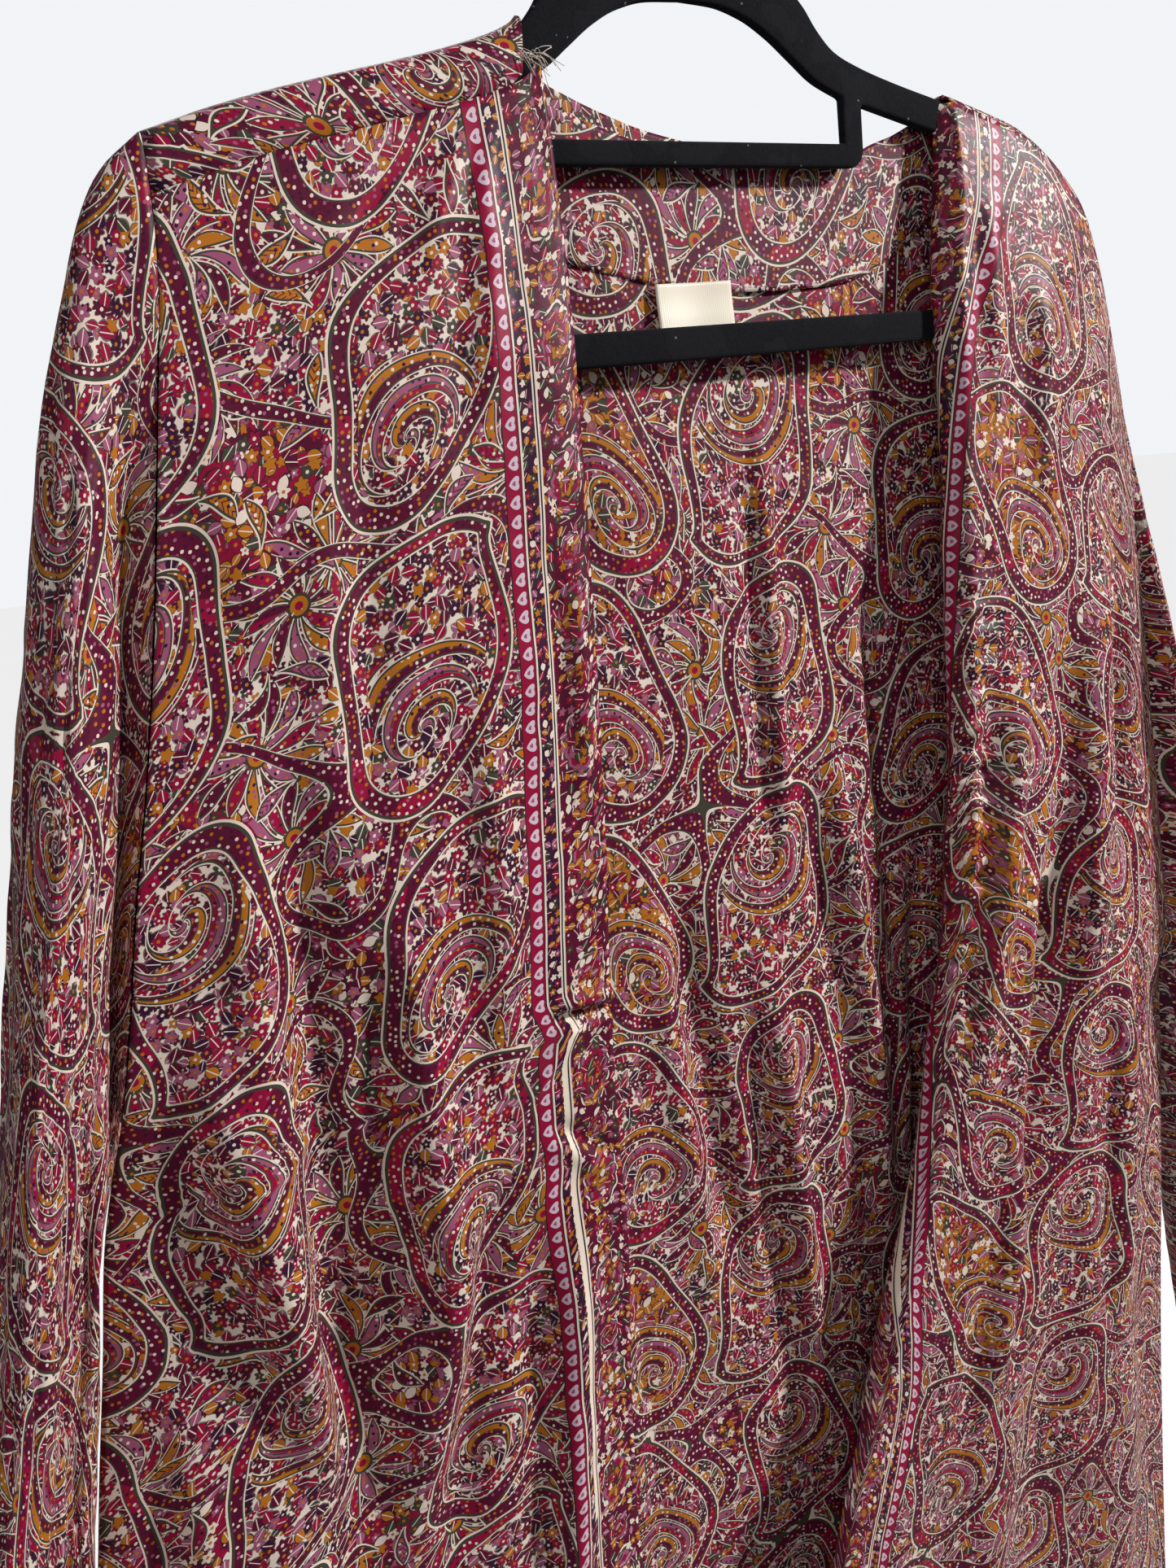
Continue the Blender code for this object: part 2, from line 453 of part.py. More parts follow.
def sleeve(name, table, side_table, arm, underarm, seam_run, valley, folds):
    """A sleeve from the armhole to the cuff, its columns round it from the underarm."""
    side = np.sign(arm[0])
    heights, face = armhole_heights(arm, underarm, seam_run)
    top = float(crest_z(arm[0]))
    up = (heights - underarm[1]) / (top - underarm[1])
    turn = np.arccos(np.clip(1.0 - 2.0 * up, -1.0, 1.0))
    turn = np.where(face < 0.0, turn, 2.0 * math.pi - turn)
    mid = []
    for along in ALONG:
        tx, tz, ux, uz, deep, swell = [float(curve([(row[0], row[c]) for row in table], along))
                                       for c in range(1, 7)]
        tz += (top - arm[1]) * (1.0 - along)
        z = uz + (tz - uz) * up
        x = ux + (tx - ux) * up
        chord = underarm[0] + (arm[0] - underarm[0]) * up
        bow = curve(side_table, heights) - chord
        x = x + bow * (1.0 - smooth(along / 0.5)) + side * (SEAM + swell * 4.0 * up * (1.0 - up))
        round_y = np.abs(np.sin(turn))
        seam_y = armhole_depth(heights, arm, underarm)
        own_y = deep * round_y ** 0.8
        mix = smooth(along / 0.14)
        y = seam_y * (1.0 - mix) + own_y * mix
        # The front layer sinks in just outside the armhole, then swells into the sleeve
        low, high, at, wide, sunk = valley
        inside = smooth((up - low) / 0.12) * smooth((high - up) / 0.2)
        y = np.where(face < 0.0, y - sunk * inside * math.exp(-((along - at) / wide) ** 2), y)
        for turn_at, start, stop, spread, tall in folds:
            centre = turn_at[0] + (turn_at[1] - turn_at[0]) * along
            held = smooth((along - start) / 0.2) * smooth((stop - along) / 0.12 + 1.0)
            y = y + tall * held * np.exp(-((turn - centre) / spread) ** 2) * round_y
        mid.append(np.stack([x, face * y, z], 1))
    cloth(name, mid, CLOTH, silk, ring=True, seams=[(FIRST_ROW, SIDEWAYS)])


# columns: turn at the armhole and at the cuff, start, stop, spread, height
LEFT_SLEEVE_FOLDS = [((1.1, 1.3), 0.15, 1.0, 0.30, -9.0), ((2.0, 1.9), 0.10, 1.0, 0.32, 6.0),
                     ((4.2, 4.4), 0.15, 1.0, 0.35, -8.0), ((5.2, 5.2), 0.15, 1.0, 0.35, 5.0)]
RIGHT_SLEEVE_FOLDS = [((1.3, 1.2), 0.15, 1.0, 0.30, -8.0), ((2.1, 2.0), 0.10, 1.0, 0.34, 6.0),
                      ((4.1, 4.3), 0.15, 1.0, 0.35, -7.0), ((5.1, 5.2), 0.15, 1.0, 0.35, 5.0)]
# columns: share up the armhole where it starts and stops, share along its middle, half width, depth
LEFT_VALLEY = (0.02, 0.85, 0.055, 0.045, 9.5)
RIGHT_VALLEY = (0.1, 0.8, 0.06, 0.05, 5.0)
sleeve("sleeve_left", SLEEVE_LEFT, LEFT_SIDE, ARM_L, UNDERARM_L, SHOULDER_SEAM, LEFT_VALLEY, LEFT_SLEEVE_FOLDS)
sleeve("sleeve_right", SLEEVE_RIGHT, RIGHT_SIDE, ARM_R, UNDERARM_R, RIGHT_SEAM, RIGHT_VALLEY, RIGHT_SLEEVE_FOLDS)

# Neck facing: a curved strip laid inside the back of the neck
# columns: x, z of the top edge, z of the stitched lower edge
FACING_LINE = [(-100, -121.0, -174), (-92, -119.0, -178), (-80, -118.0, -181.5), (-72, -120.5, -184),
               (-60, -124.0, -187), (-44, -129.0, -190.5), (-22, -135.0, -195), (0, -138.0, -198),
               (23, -140.5, -200), (46, -141.5, -200.5), (69, -141.0, -200), (98, -139.0, -197.5),
               (118, -132.5, -191), (136, -128.0, -181), (150, -127.0, -171), (160, -128.0, -164),
               (168, -129.5, -158)]


def on_back(x, z, lift):
    """A point lifted off the back panel's inner side."""
    x, z = np.broadcast_arrays(np.asarray(x, float), np.asarray(z, float))
    return np.stack([x, back_depth(x, z, np.maximum(crest_z(x) - z, 0.0)) - lift, z], -1)


facing_x = np.array([row[0] for row in FACING_LINE], float)
facing_top = np.array([row[1] for row in FACING_LINE]) - 0.8
facing_low = np.array([row[2] for row in FACING_LINE])
FACING_LIFT = CLOTH / 2 + SEAM + FACING / 2 + 0.15     # the last part is for the back's curve
facing_rows = [on_back(facing_x, facing_top + (facing_low - facing_top) * s, FACING_LIFT)
               for s in (0.0, 0.25, 0.5, 0.75, 1.0)]
cloth("neck_facing", facing_rows, FACING, facing_silk)

# Label: a folded loop of satin tape, its ends caught in the facing's lower edge
LABEL_X, LABEL_WIDE = -0.5, 43.0
LABEL_THICK = 1.4      # both layers of the loop
LABEL_SLANT = 0.012
LABEL_LIFT = FACING_LIFT + 1.75
# columns: z, how far the row stands off more
LABEL_ROWS = [(-195.5, 0.0), (-201.0, 0.1), (-206.0, 0.4), (-211.0, 0.9), (-216.5, 1.3)]
across = np.linspace(LABEL_X - LABEL_WIDE / 2, LABEL_X + LABEL_WIDE / 2, 9)
label_rows = [on_back(across, z + LABEL_SLANT * (across - LABEL_X), LABEL_LIFT + rise) for z, rise in LABEL_ROWS]
cloth("neck_label", label_rows, LABEL_THICK, label_satin)
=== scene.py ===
# The looks of a printed silk kimono robe on a black velvet hanger.
import math

import bmesh
import bpy
import numpy as np
from mathutils import Matrix, Vector


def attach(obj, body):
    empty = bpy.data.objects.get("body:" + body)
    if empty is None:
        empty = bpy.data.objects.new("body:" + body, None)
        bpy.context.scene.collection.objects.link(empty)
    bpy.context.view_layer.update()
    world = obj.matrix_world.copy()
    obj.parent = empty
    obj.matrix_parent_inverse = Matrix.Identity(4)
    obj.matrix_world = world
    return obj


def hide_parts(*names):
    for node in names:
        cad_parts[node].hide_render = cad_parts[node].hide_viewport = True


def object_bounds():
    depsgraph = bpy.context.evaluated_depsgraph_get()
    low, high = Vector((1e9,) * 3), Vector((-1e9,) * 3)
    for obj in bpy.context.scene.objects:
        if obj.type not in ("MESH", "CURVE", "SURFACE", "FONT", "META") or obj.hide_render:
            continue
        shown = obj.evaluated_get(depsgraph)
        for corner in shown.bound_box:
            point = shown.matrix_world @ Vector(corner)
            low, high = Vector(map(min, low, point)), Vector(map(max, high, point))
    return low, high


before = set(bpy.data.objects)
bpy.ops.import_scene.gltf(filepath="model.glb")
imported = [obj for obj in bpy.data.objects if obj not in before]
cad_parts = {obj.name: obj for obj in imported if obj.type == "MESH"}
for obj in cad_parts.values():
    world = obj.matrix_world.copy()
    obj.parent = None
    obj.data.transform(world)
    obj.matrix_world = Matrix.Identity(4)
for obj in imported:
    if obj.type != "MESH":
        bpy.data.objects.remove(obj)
cad_low, cad_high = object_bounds()
MM = 0.001


# Materials: a shader's steady values are set by name, and what varies over a surface comes from a
# tree of nodes, written as sums on its sockets.
class Wire:
    """A socket of a node tree. Sums on it add Math nodes, and node() adds any other node."""

    def __init__(self, tree, socket=None):
        self.tree = tree
        self.socket = socket

    def node(self, kind, settings, sockets, out=0):
        made = self.tree.nodes.new("ShaderNode" + kind)
        for key, value in settings.items():
            if key == "stops":
                ramp = made.color_ramp
                ramp.interpolation = "CONSTANT"
                while len(ramp.elements) < len(value):
                    ramp.elements.new(0.5)
                for element, (place, colour) in zip(ramp.elements, value):
                    element.position = place
                    element.color = (*colour, 1.0)
            else:
                setattr(made, key, value)
        for key, value in sockets.items():
            if isinstance(value, Wire):
                self.tree.links.new(value.socket, made.inputs[key])
            elif isinstance(value, tuple) and len(made.inputs[key].default_value) == 4:
                made.inputs[key].default_value = (*value, 1.0)
            else:
                made.inputs[key].default_value = value
        return Wire(self.tree, made.outputs[out])

    def sum(self, operation, *others):
        return self.node("Math", {"operation": operation}, dict(enumerate((self, *others))))

    def __add__(self, other):
        return self.sum("ADD", other)

    __radd__ = __add__

    def __mul__(self, other):
        return self.sum("MULTIPLY", other)

    __rmul__ = __mul__

    def __sub__(self, other):
        return self.sum("SUBTRACT", other)

    def __rsub__(self, other):
        return (self * -1.0) + other

    def __truediv__(self, number):
        return self * (1.0 / number)

    def __pow__(self, other):
        return self.sum("POWER", other)

    def __abs__(self):
        return self.sum("ABSOLUTE")

    def __lt__(self, other):
        return self.sum("LESS_THAN", other)

    def __gt__(self, other):
        return self.sum("GREATER_THAN", other)

    def between(self, low, high):
        return (self > low) * (self < high)

    def also(self, name):
        """Another output of the same node."""
        return Wire(self.tree, self.socket.node.outputs[name])

    def parts(self):
        apart = self.node("SeparateXYZ", {}, {0: self})
        outputs = apart.socket.node.outputs
        return [Wire(self.tree, outputs[i]) for i in range(3)]

    def place(self):
        return self.node("TexCoord", {}, {}, "Object")

    def seen(self):
        """One for what the camera sees, nothing for the light that this gives to other things."""
        return self.node("LightPath", {}, {}, "Is Camera Ray")

    def noise(self, scale, detail):
        return self.node("TexNoise", {}, {"Vector": self, "Scale": scale, "Detail": detail})

    def bump(self, strength, distance):
        """The normals of a surface that stands up as high as this says."""
        return self.node("Bump", {}, {"Strength": strength, "Distance": distance, "Height": self})

    def feeds(self, shader, name):
        self.tree.links.new(self.socket, shader.inputs[name])

    def under(self, mask, colour):
        """This colour with another one over it where the mask says."""
        return self.node("Mix", {"data_type": "RGBA"}, {0: mask, 6: self, 7: colour}, 2)

    def layered(self, form, where, layers):
        """This colour with others over it, each where a form is less than its own limit."""
        made = self
        for limit, colour in layers:
            made = made.under((form < limit) * where, colour)
        return made


def new_finish(name, rough, colour=(0.5, 0.5, 0.5), **shader_values):
    """A material with its shader's steady values set, and a Wire on its tree."""
    made = bpy.data.materials.new(name)
    made.use_nodes = True
    shader = made.node_tree.nodes["Principled BSDF"]
    shader.inputs["Base Color"].default_value = (*colour, 1.0)
    shader.inputs["Roughness"].default_value = rough
    for key, value in shader_values.items():
        shader.inputs[key.replace("_", " ")].default_value = value
    return made, shader, Wire(made.node_tree)


# The room: a plain pale floor under the hanging robe and white walls all round. A small strong light
# stands to the right, a broad weak one to the left and one behind, so that every side can be seen.
FLOOR_Z = cad_low.z - 0.16
FLOOR_SIZE = 60.0
FLOOR_GLOW = 0.82       # what the camera sees of the floor beside the light that falls on it
ROOM_LIGHT, ROOM_SEEN = 0.13, 0.93
bpy.ops.object.select_all(action="DESELECT")
bpy.ops.mesh.primitive_plane_add(size=FLOOR_SIZE, location=(0.0, 0.0, FLOOR_Z))
floor = bpy.context.object
floor.name = "floor"
floor_paint, floor_shader, paint = new_finish("pale_floor", 1.0, (0.20, 0.20, 0.20),
                                              Specular_IOR_Level=0.0, Emission_Strength=FLOOR_GLOW)
paint.seen().feeds(floor_shader, "Emission Color")
floor.data.materials.append(floor_paint)

LIGHTS = [
    # name, place, aims at, size across, watts
    ("key_light", (2.32, -1.62, 0.95), (0, 0, -0.45), 0.22, 118),
    ("left_fill", (-2, -1.9, 0.5), (0, 0, -0.5), 1.9, 20),
    ("back_light", (0.8, 2.3, 0.7), (0, 0, -0.6), 1.6, 26),
]
for name, place, aim, across, watts in LIGHTS:
    lamp = bpy.data.lights.new(name, "AREA")
    lamp.size = across
    lamp.energy = watts
    stand = bpy.data.objects.new(name, lamp)
    stand.location = place
    stand.rotation_euler = (Vector(aim) - Vector(place)).to_track_quat("-Z", "Y").to_euler()
    bpy.context.scene.collection.objects.link(stand)

sky = bpy.data.worlds.new("white_room")
sky.use_nodes = True
walls = sky.node_tree.nodes["Background"]
walls.inputs["Color"].default_value = (0.95, 0.97, 1.0, 1.0)
air = Wire(sky.node_tree)
strength = air.node("MapRange", {}, {"Value": air.seen(), "To Min": ROOM_LIGHT, "To Max": ROOM_SEEN})
strength.feeds(walls, "Strength")
bpy.context.scene.world = sky
bpy.context.scene.view_settings.view_transform = "Standard"

# The camera stands a little to the left of the robe, near the height of the chest, and is turned
# right and down. Its place and turn are in the robe's own frame.
CAMERA_PLACE = (-0.34946, -0.47789, -0.28011)
CAMERA_RIGHT = (0.8605155, -0.4945928, -0.1220288)
CAMERA_DOWN = (-0.2260529, -0.1560626, -0.9615324)
CAMERA_AHEAD = (0.4565228, 0.8549985, -0.2460985)
LENS = 27.03
view = bpy.data.cameras.new("camera")
view.sensor_fit = "VERTICAL"
view.sensor_height = 36.0
view.lens = LENS
view.clip_start = 0.01
camera = bpy.data.objects.new("camera", view)
turn = Matrix((CAMERA_RIGHT, [-d for d in CAMERA_DOWN], [-a for a in CAMERA_AHEAD])).transposed()
camera.matrix_world = Matrix.Translation(CAMERA_PLACE) @ turn.to_4x4()
bpy.context.scene.collection.objects.link(camera)
bpy.context.scene.camera = camera

# Hanger frame: one flat plastic moulding with a humped neck, two sloping arms, a tie bar on two
# struts and a bottom bar, covered all over in black flocking that has caught some lint.
velvet, velvet_shader, lay = new_finish("black_velvet", 0.95, Specular_IOR_Level=0.08, Sheen_Weight=0.14,
                                        Sheen_Roughness=0.45, Sheen_Tint=(0.30, 0.31, 0.34, 1.0))
here = lay.place()
nap, patches = here.noise(900.0, 3.0), here.noise(38.0, 2.0)
lint = lay.node("TexVoronoi", {}, {"Vector": here, "Scale": 260.0})
pick = lay.node("TexWhiteNoise", {}, {"Vector": lint.also("Position")})
shades = {0: nap, 6: (0.003, 0.003, 0.004), 7: (0.014, 0.014, 0.017)}
black = lay.node("Mix", {"data_type": "RGBA"}, shades, 2)
black = black.under(patches.between(0.56, 1.0) * 0.35, (0.016, 0.016, 0.019))
black = black.under((lint < 0.15) * (pick > 0.93) * 0.7, (0.22, 0.22, 0.23))
black.feeds(velvet_shader, "Base Color")
nap.bump(0.5, 0.0004).feeds(velvet_shader, "Normal")


def read(places, values, at):
    """Values that stand at places, read in between as a smooth curve without overshoot."""
    places, values, at = np.asarray(places, float), np.asarray(values, float), np.asarray(at, float)
    step = np.diff(places)
    tall = step.reshape(-1, *[1] * (values.ndim - 1))
    slope = np.diff(values, axis=0) / tall
    lean = np.zeros_like(values)
    lean[0], lean[-1] = slope[0], slope[-1]
    before, after = slope[:-1], slope[1:]
    w1, w2 = 2 * tall[1:] + tall[:-1], tall[1:] + 2 * tall[:-1]
    same = before * after > 0.0
    safe_before, safe_after = np.where(same, before, 1.0), np.where(same, after, 1.0)
    lean[1:-1] = np.where(same, (w1 + w2) / (w1 / safe_before + w2 / safe_after), 0.0)
    at = np.clip(at, places[0], places[-1])
    i = np.clip(np.searchsorted(places, at) - 1, 0, len(step) - 1)
    deeper = (..., *[None] * (values.ndim - 1))
    t, run = ((at - places[i]) / step[i])[deeper], step[i][deeper]
    return ((2 * t**3 - 3 * t**2 + 1) * values[i] + (t**3 - 2 * t**2 + t) * run * lean[i]
            + (3 * t**2 - 2 * t**3) * values[i + 1] + (t**3 - t**2) * run * lean[i + 1])


def curve(table, at):
    rows = sorted(table)
    return read([row[0] for row in rows], [row[1] for row in rows], at)


def run_along(mid, axis):
    """Distance of each point from the first one along an axis of the grid."""
    apart = np.linalg.norm(np.diff(mid, axis=axis), axis=-1)
    start = np.zeros_like(np.take(apart, [0], axis=axis))
    return np.concatenate([start, np.cumsum(apart, axis=axis)], axis=axis)


FRAME_THICK, EDGE_ROUND = 5.5, 1.9
TILT = 0.008            # the hanger hangs a little lower on the left
# columns: x from the middle, z below the hang point, in millimetres
ARM_TOP = [
    (0, -62), (30, -64), (50, -68), (62, -73.5), (69, -79.5), (76, -88.5), (86, -97.5), (101, -103.5),
    (124, -109.8), (153, -116.4), (180, -122.6), (202, -128.2), (214, -134)]
SHOULDER_END = [
    (221.5, -142), (225.5, -153), (226.5, -168), (226.5, -198), (223, -213), (215, -224.5), (203, -230.5)]
BAR_LOW_Z = -231.0
HUMP_UNDER = [(0, -81), (17, -82), (33, -86), (47, -93), (60, -102), (73, -111), (89, -117.5)]
STRUT_IN = 89.0
TIE_TOP_Z, TIE_LOW_Z = -137.6, -148.2
TIE_END = [(92.7, TIE_LOW_Z), (96.6, -147.6), (99.6, -145.4), (101.2, -141.6)]
LOOP_OUT = [
    (101.5, -120.5), (133, -127.8), (160, -134), (188, -140.6), (203, -146.5), (211, -156), (213, -170),
    (212.5, -192), (208.5, -205), (199, -213.6), (184, -216)]
BAR_TOP_Z = -216.0


def eased(points, close=2.6):
    """Points of an outline read along its length, a short step apart."""
    points = np.array(points, float)
    far = run_along(points, 0)
    return read(far, points, np.linspace(0.0, far[-1], max(3, int(far[-1] / close))))


def both_sides(right_side):
    """An outline from its right half."""
    left_side = right_side[::-1] * np.array([-1.0, 1.0])
    return np.concatenate([right_side, left_side[right_side[::-1, 0] > 0.02]])


def shape_all():
    """Edit mode, with all of the piece selected."""
    bpy.ops.object.mode_set(mode="EDIT")
    bpy.ops.mesh.select_all(action="SELECT")


def turn_outwards():
    """All faces turned outwards, and back to object mode."""
    bpy.ops.mesh.select_all(action="SELECT")
    bpy.ops.mesh.normals_make_consistent(inside=False)
    bpy.ops.object.mode_set(mode="OBJECT")


frame_loops = [
    both_sides(np.concatenate([eased(ARM_TOP + SHOULDER_END), [(0.01, BAR_LOW_Z)]])),
    both_sides(np.concatenate([eased(HUMP_UNDER), [(STRUT_IN, TIE_TOP_Z), (0.01, TIE_TOP_Z)]])),
    both_sides(np.concatenate([[(0.01, TIE_LOW_Z)] + TIE_END, eased(LOOP_OUT), [(0.01, BAR_TOP_Z)]])),
]
bpy.ops.object.select_all(action="DESELECT")
rings = []
for loop in frame_loops:
    bpy.ops.mesh.primitive_circle_add(vertices=len(loop), radius=0.1)
    ring = bpy.context.object
    for corner, (x, z) in zip(ring.data.vertices, loop):
        corner.co = (x * MM, -FRAME_THICK / 2 * MM, (z + TILT * x) * MM)
    rings.append(ring)
for ring in rings:
    ring.select_set(True)
hanger = rings[0]
bpy.context.view_layer.objects.active = hanger
bpy.ops.object.join()
hanger.name = "velvet_hanger"
shape_all()
bpy.ops.mesh.fill(use_beauty=True)
bpy.ops.mesh.extrude_region_move(TRANSFORM_OT_translate={"value": (0.0, FRAME_THICK * MM, 0.0)})
turn_outwards()
round_edge = hanger.modifiers.new("round_edge", "BEVEL")
round_edge.width = EDGE_ROUND * MM
round_edge.segments = 4
round_edge.limit_method = "ANGLE"
round_edge.angle_limit = math.radians(60)
bpy.ops.object.modifier_apply(modifier=round_edge.name)
bpy.ops.object.shade_smooth_by_angle(angle=math.radians(38))
hanger.data.materials.clear()
hanger.data.materials.append(velvet)
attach(hanger, "root")
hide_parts("hanger_frame")

# Hook: plain bright steel wire, bent by machine and pressed into the top of the hump. The inside of
# its bend lies on the rail, and that place is the hang point of the part.
WIRE = 3.4
HOOK_RADIUS = 21.0
BEND_FROM, BEND_TO, BEND_STEP = -52, 199, 6     # degrees
steel, steel_shader, shine = new_finish("bright_steel", 0.24, (0.72, 0.72, 0.72), Metallic=1.0)
drawn, dull = shine.place().noise(420.0, 3.0), shine.place().noise(60.0, 2.0)
(drawn * 0.12 + dull * 0.16 + 0.12).feeds(steel_shader, "Roughness")
grey = shine.node("Mix", {"data_type": "RGBA"}, {0: dull, 6: (0.55, 0.55, 0.56), 7: (0.80, 0.80, 0.80)}, 2)
grey.feeds(steel_shader, "Base Color")
ring_z = -(HOOK_RADIUS - WIRE / 2)
bend = [(HOOK_RADIUS * math.cos(math.radians(a)), ring_z + HOOK_RADIUS * math.sin(math.radians(a)))
        for a in range(BEND_FROM, BEND_TO, BEND_STEP)]
shank = [(0.0, -63.0), (0.0, -59.0), (0.0, -55.0), (0.3, -51.0), (1.0, -48.4), (2.4, -46.0), (4.4, -43.2),
         (7.0, -40.4), (9.8, -37.8)]
bpy.ops.object.select_all(action="DESELECT")
bpy.ops.mesh.primitive_circle_add(vertices=20, radius=WIRE / 2 * MM, fill_type="NGON",
                                  location=(0.0, 0.0, shank[0][1] * MM))
hook = bpy.context.object
hook.name = "wire_hook"
bpy.ops.object.transform_apply(location=True)
shape_all()
route = shank + bend
for i in range(1, len(route)):
    (x0, z0), (x1, z1) = route[i - 1], route[i]
    bpy.ops.mesh.extrude_region_move(TRANSFORM_OT_translate={"value": ((x1 - x0) * MM, 0.0, (z1 - z0) * MM)})
    ahead = route[min(i + 1, len(route) - 1)]
    behind = route[max(i - 2, 0)]
    heading = math.atan2(ahead[0] - x0, ahead[1] - z0)
    earlier = math.atan2(x1 - behind[0], z1 - behind[1])
    bpy.ops.transform.rotate(value=heading - earlier, orient_axis="Y",
                             center_override=(x1 * MM, 0.0, z1 * MM))
turn_outwards()
bpy.ops.object.shade_smooth_by_angle(angle=math.radians(50))
hook.data.materials.append(steel)
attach(hook, "root")
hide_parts("hanger_hook")

# Back panel: printed silk cut in one, carried over the hanger's arms to the shoulder seams, with the
# back of the neck cut out. Its inside shows between the fronts. It is the biggest piece of the robe.
SHELL = 0.7             # wall of the silk as it is drawn
CLOTH = 1.2             # wall that the garment's form was worked out with
SEAM = 0.3
HEM_Z = -1270.0
CREST_LIFT = 0.6        # middle of the cloth above the line it was read on
CREST = 4.4             # half the depth of the cloth where it lies over an arm
SHOULDER_SEAM = 22.0    # the left shoulder seam lies this far forward of the crest
RIGHT_SEAM = 4.0        # the right one lies nearly on the crest
ARMHOLE_DEPTH = 12.0
# columns: x, z
CREST_LINE = [
    (-242, -140), (-228, -135.4), (-206, -128.2), (-180, -121.6), (-150, -114.5), (-124, -108.1),
    (-101, -101.6), (-86, -95.4), (-76, -85.9), (160, -114.2), (180, -119.4), (202, -124.8), (214, -129.8),
    (226, -136), (242, -147.5), (254, -159.5), (265, -177.5), (272, -199), (279, -230)]
# columns: z, x
LEFT_SIDE = [
    (-139, -242), (-173, -245), (-193, -248), (-239, -258), (-298, -271), (-319, -276), (-370, -289),
    (-418, -303), (-477, -318), (-523, -332), (-565, -345), (-623, -357.5), (-697, -375.5), (-800, -393.5),
    (-950, -410.5), (-1100, -419), (HEM_Z, -426)]
RIGHT_SIDE = [
    (-230, 279), (-263, 282), (-302, 286), (-350, 291), (-400, 297), (-500, 309), (-600, 321), (-653, 327),
    (-749, 329), (-829, 329), (-917, 328), (-1048, 330), (-1168, 333), (HEM_Z, 336)]
UNDERARM_L, UNDERARM_R = (-332, -523), (327, -653)
ARM_L, ARM_R = (-242, -140), (279, -230)


def crest_z(x):
    return curve(CREST_LINE, x) + CREST_LIFT


def crest_slope(x):
    return (crest_z(x + 1.5) - crest_z(x - 1.5)) / 3.0


def smooth(value):
    value = np.clip(value, 0.0, 1.0)
    return value * value * (3.0 - 2.0 * value)


def bell(off, wide):
    return np.exp(-(off / wide) ** 2)


def armhole_depth(z, arm, underarm):
    """Half the opening of an armhole at a height, nothing below the underarm."""
    share = np.clip((z - underarm[1]) / (arm[1] + CREST_LIFT - underarm[1]), 0.0, 1.0)
    return ARMHOLE_DEPTH * (4.0 * share * (1.0 - share)) ** 0.32


def ridge(x, z, folds):
    """Sum of long soft folds that run down from the shoulders."""
    total = np.zeros_like(x)
    for x0, z0, x1, z1, wide, high, fade in folds:
        along = (z - z0) / (z1 - z0)
        centre = x0 + (x1 - x0) * along
        held = smooth(along / fade) * smooth((1.35 - along) / 0.35)
        spread = wide * (0.75 + 0.5 * np.clip(along, 0.0, 1.0))
        total += high * held * bell(x - centre, spread)
    return total


def body_depth(x, z, drop, side_x, arm, underarm, slack, folds):
    """Distance of a body panel from the middle plane, front to back."""
    below = drop / np.sqrt(1.0 + crest_slope(x) ** 2)
    root = np.sqrt(np.clip(1.0 - (1.0 - np.minimum(below, CREST) / CREST) ** 2, 0.0, 1.0))
    hang = CREST * root + 3.4 * (1.0 - np.exp(-below / 8.0)) + slack * (1.0 - np.exp(-below / 170.0))
    hang = hang + ridge(x, z, folds)
    edge_z = np.minimum(z, arm[1] + CREST_LIFT - drop)
    closed = (CLOTH + SEAM) / 2 * (edge_z < underarm[1] + 60.0)
    at_edge = np.maximum(armhole_depth(edge_z, arm, underarm), closed)
    inward = smooth(np.abs(x - side_x) / 70.0)
    return at_edge + (hang - at_edge) * inward


def finer(mid, step, axis):
    """A grid of points read closer together along one axis, at a distance or by a rule for each place."""
    mid = np.moveaxis(mid, axis, 0)
    apart = np.linalg.norm(np.diff(mid, axis=0), axis=-1).mean(1)
    places = np.concatenate([[0.0], np.cumsum(np.maximum(apart, 0.01))])
    at = []
    for i, far in enumerate(apart):
        close = step((mid[i] + mid[i + 1]).mean(0) / 2) if callable(step) else step
        count = max(1, round(far / close))
        at += [places[i] + (places[i + 1] - places[i]) * k / count for k in range(count)]
    return np.moveaxis(read(places, mid, np.array(at + [places[-1]])), 0, axis)


def run_from(mid, column):
    """Distance across the cloth from one of its columns."""
    run = run_along(mid, 1)
    return run - run[:, column:column + 1]


def outward(mid, ring=False):
    """Unit normals of a grid of points. The last column of a ring lies on its first one."""
    across = np.gradient(mid, axis=1)
    if ring:
        across[:, 0] = across[:, -1] = mid[:, 1] - mid[:, -2]
    normal = np.cross(across, np.gradient(mid, axis=0))
    return normal / np.maximum(np.linalg.norm(normal, axis=2, keepdims=True), 1e-9)


def rumple(u, v, size, seed):
    """Smooth uneven waves between minus one and one, of a given size."""
    count = 61
    heights = np.random.default_rng(seed).uniform(-1.0, 1.0, (count, count))
    gu, gv = u / size, v / size
    i, j = np.floor(gu).astype(int), np.floor(gv).astype(int)
    fu, fv = smooth(gu - i), smooth(gv - j)
    i, j, after_i, after_j = i % count, j % count, (i + 1) % count, (j + 1) % count
    top = heights[i, j] * (1 - fu) + heights[after_i, j] * fu
    low = heights[i, after_j] * (1 - fu) + heights[after_i, after_j] * fu
    return top * (1 - fv) + low * fv


def waves(x, z, tall, size, small_size, seed):
    """Uneven waves, longer down the cloth than across it, with smaller ones on them."""
    return tall * rumple(x, z * 0.6, size, seed) + 0.6 * rumple(x, z, small_size, seed + 1)


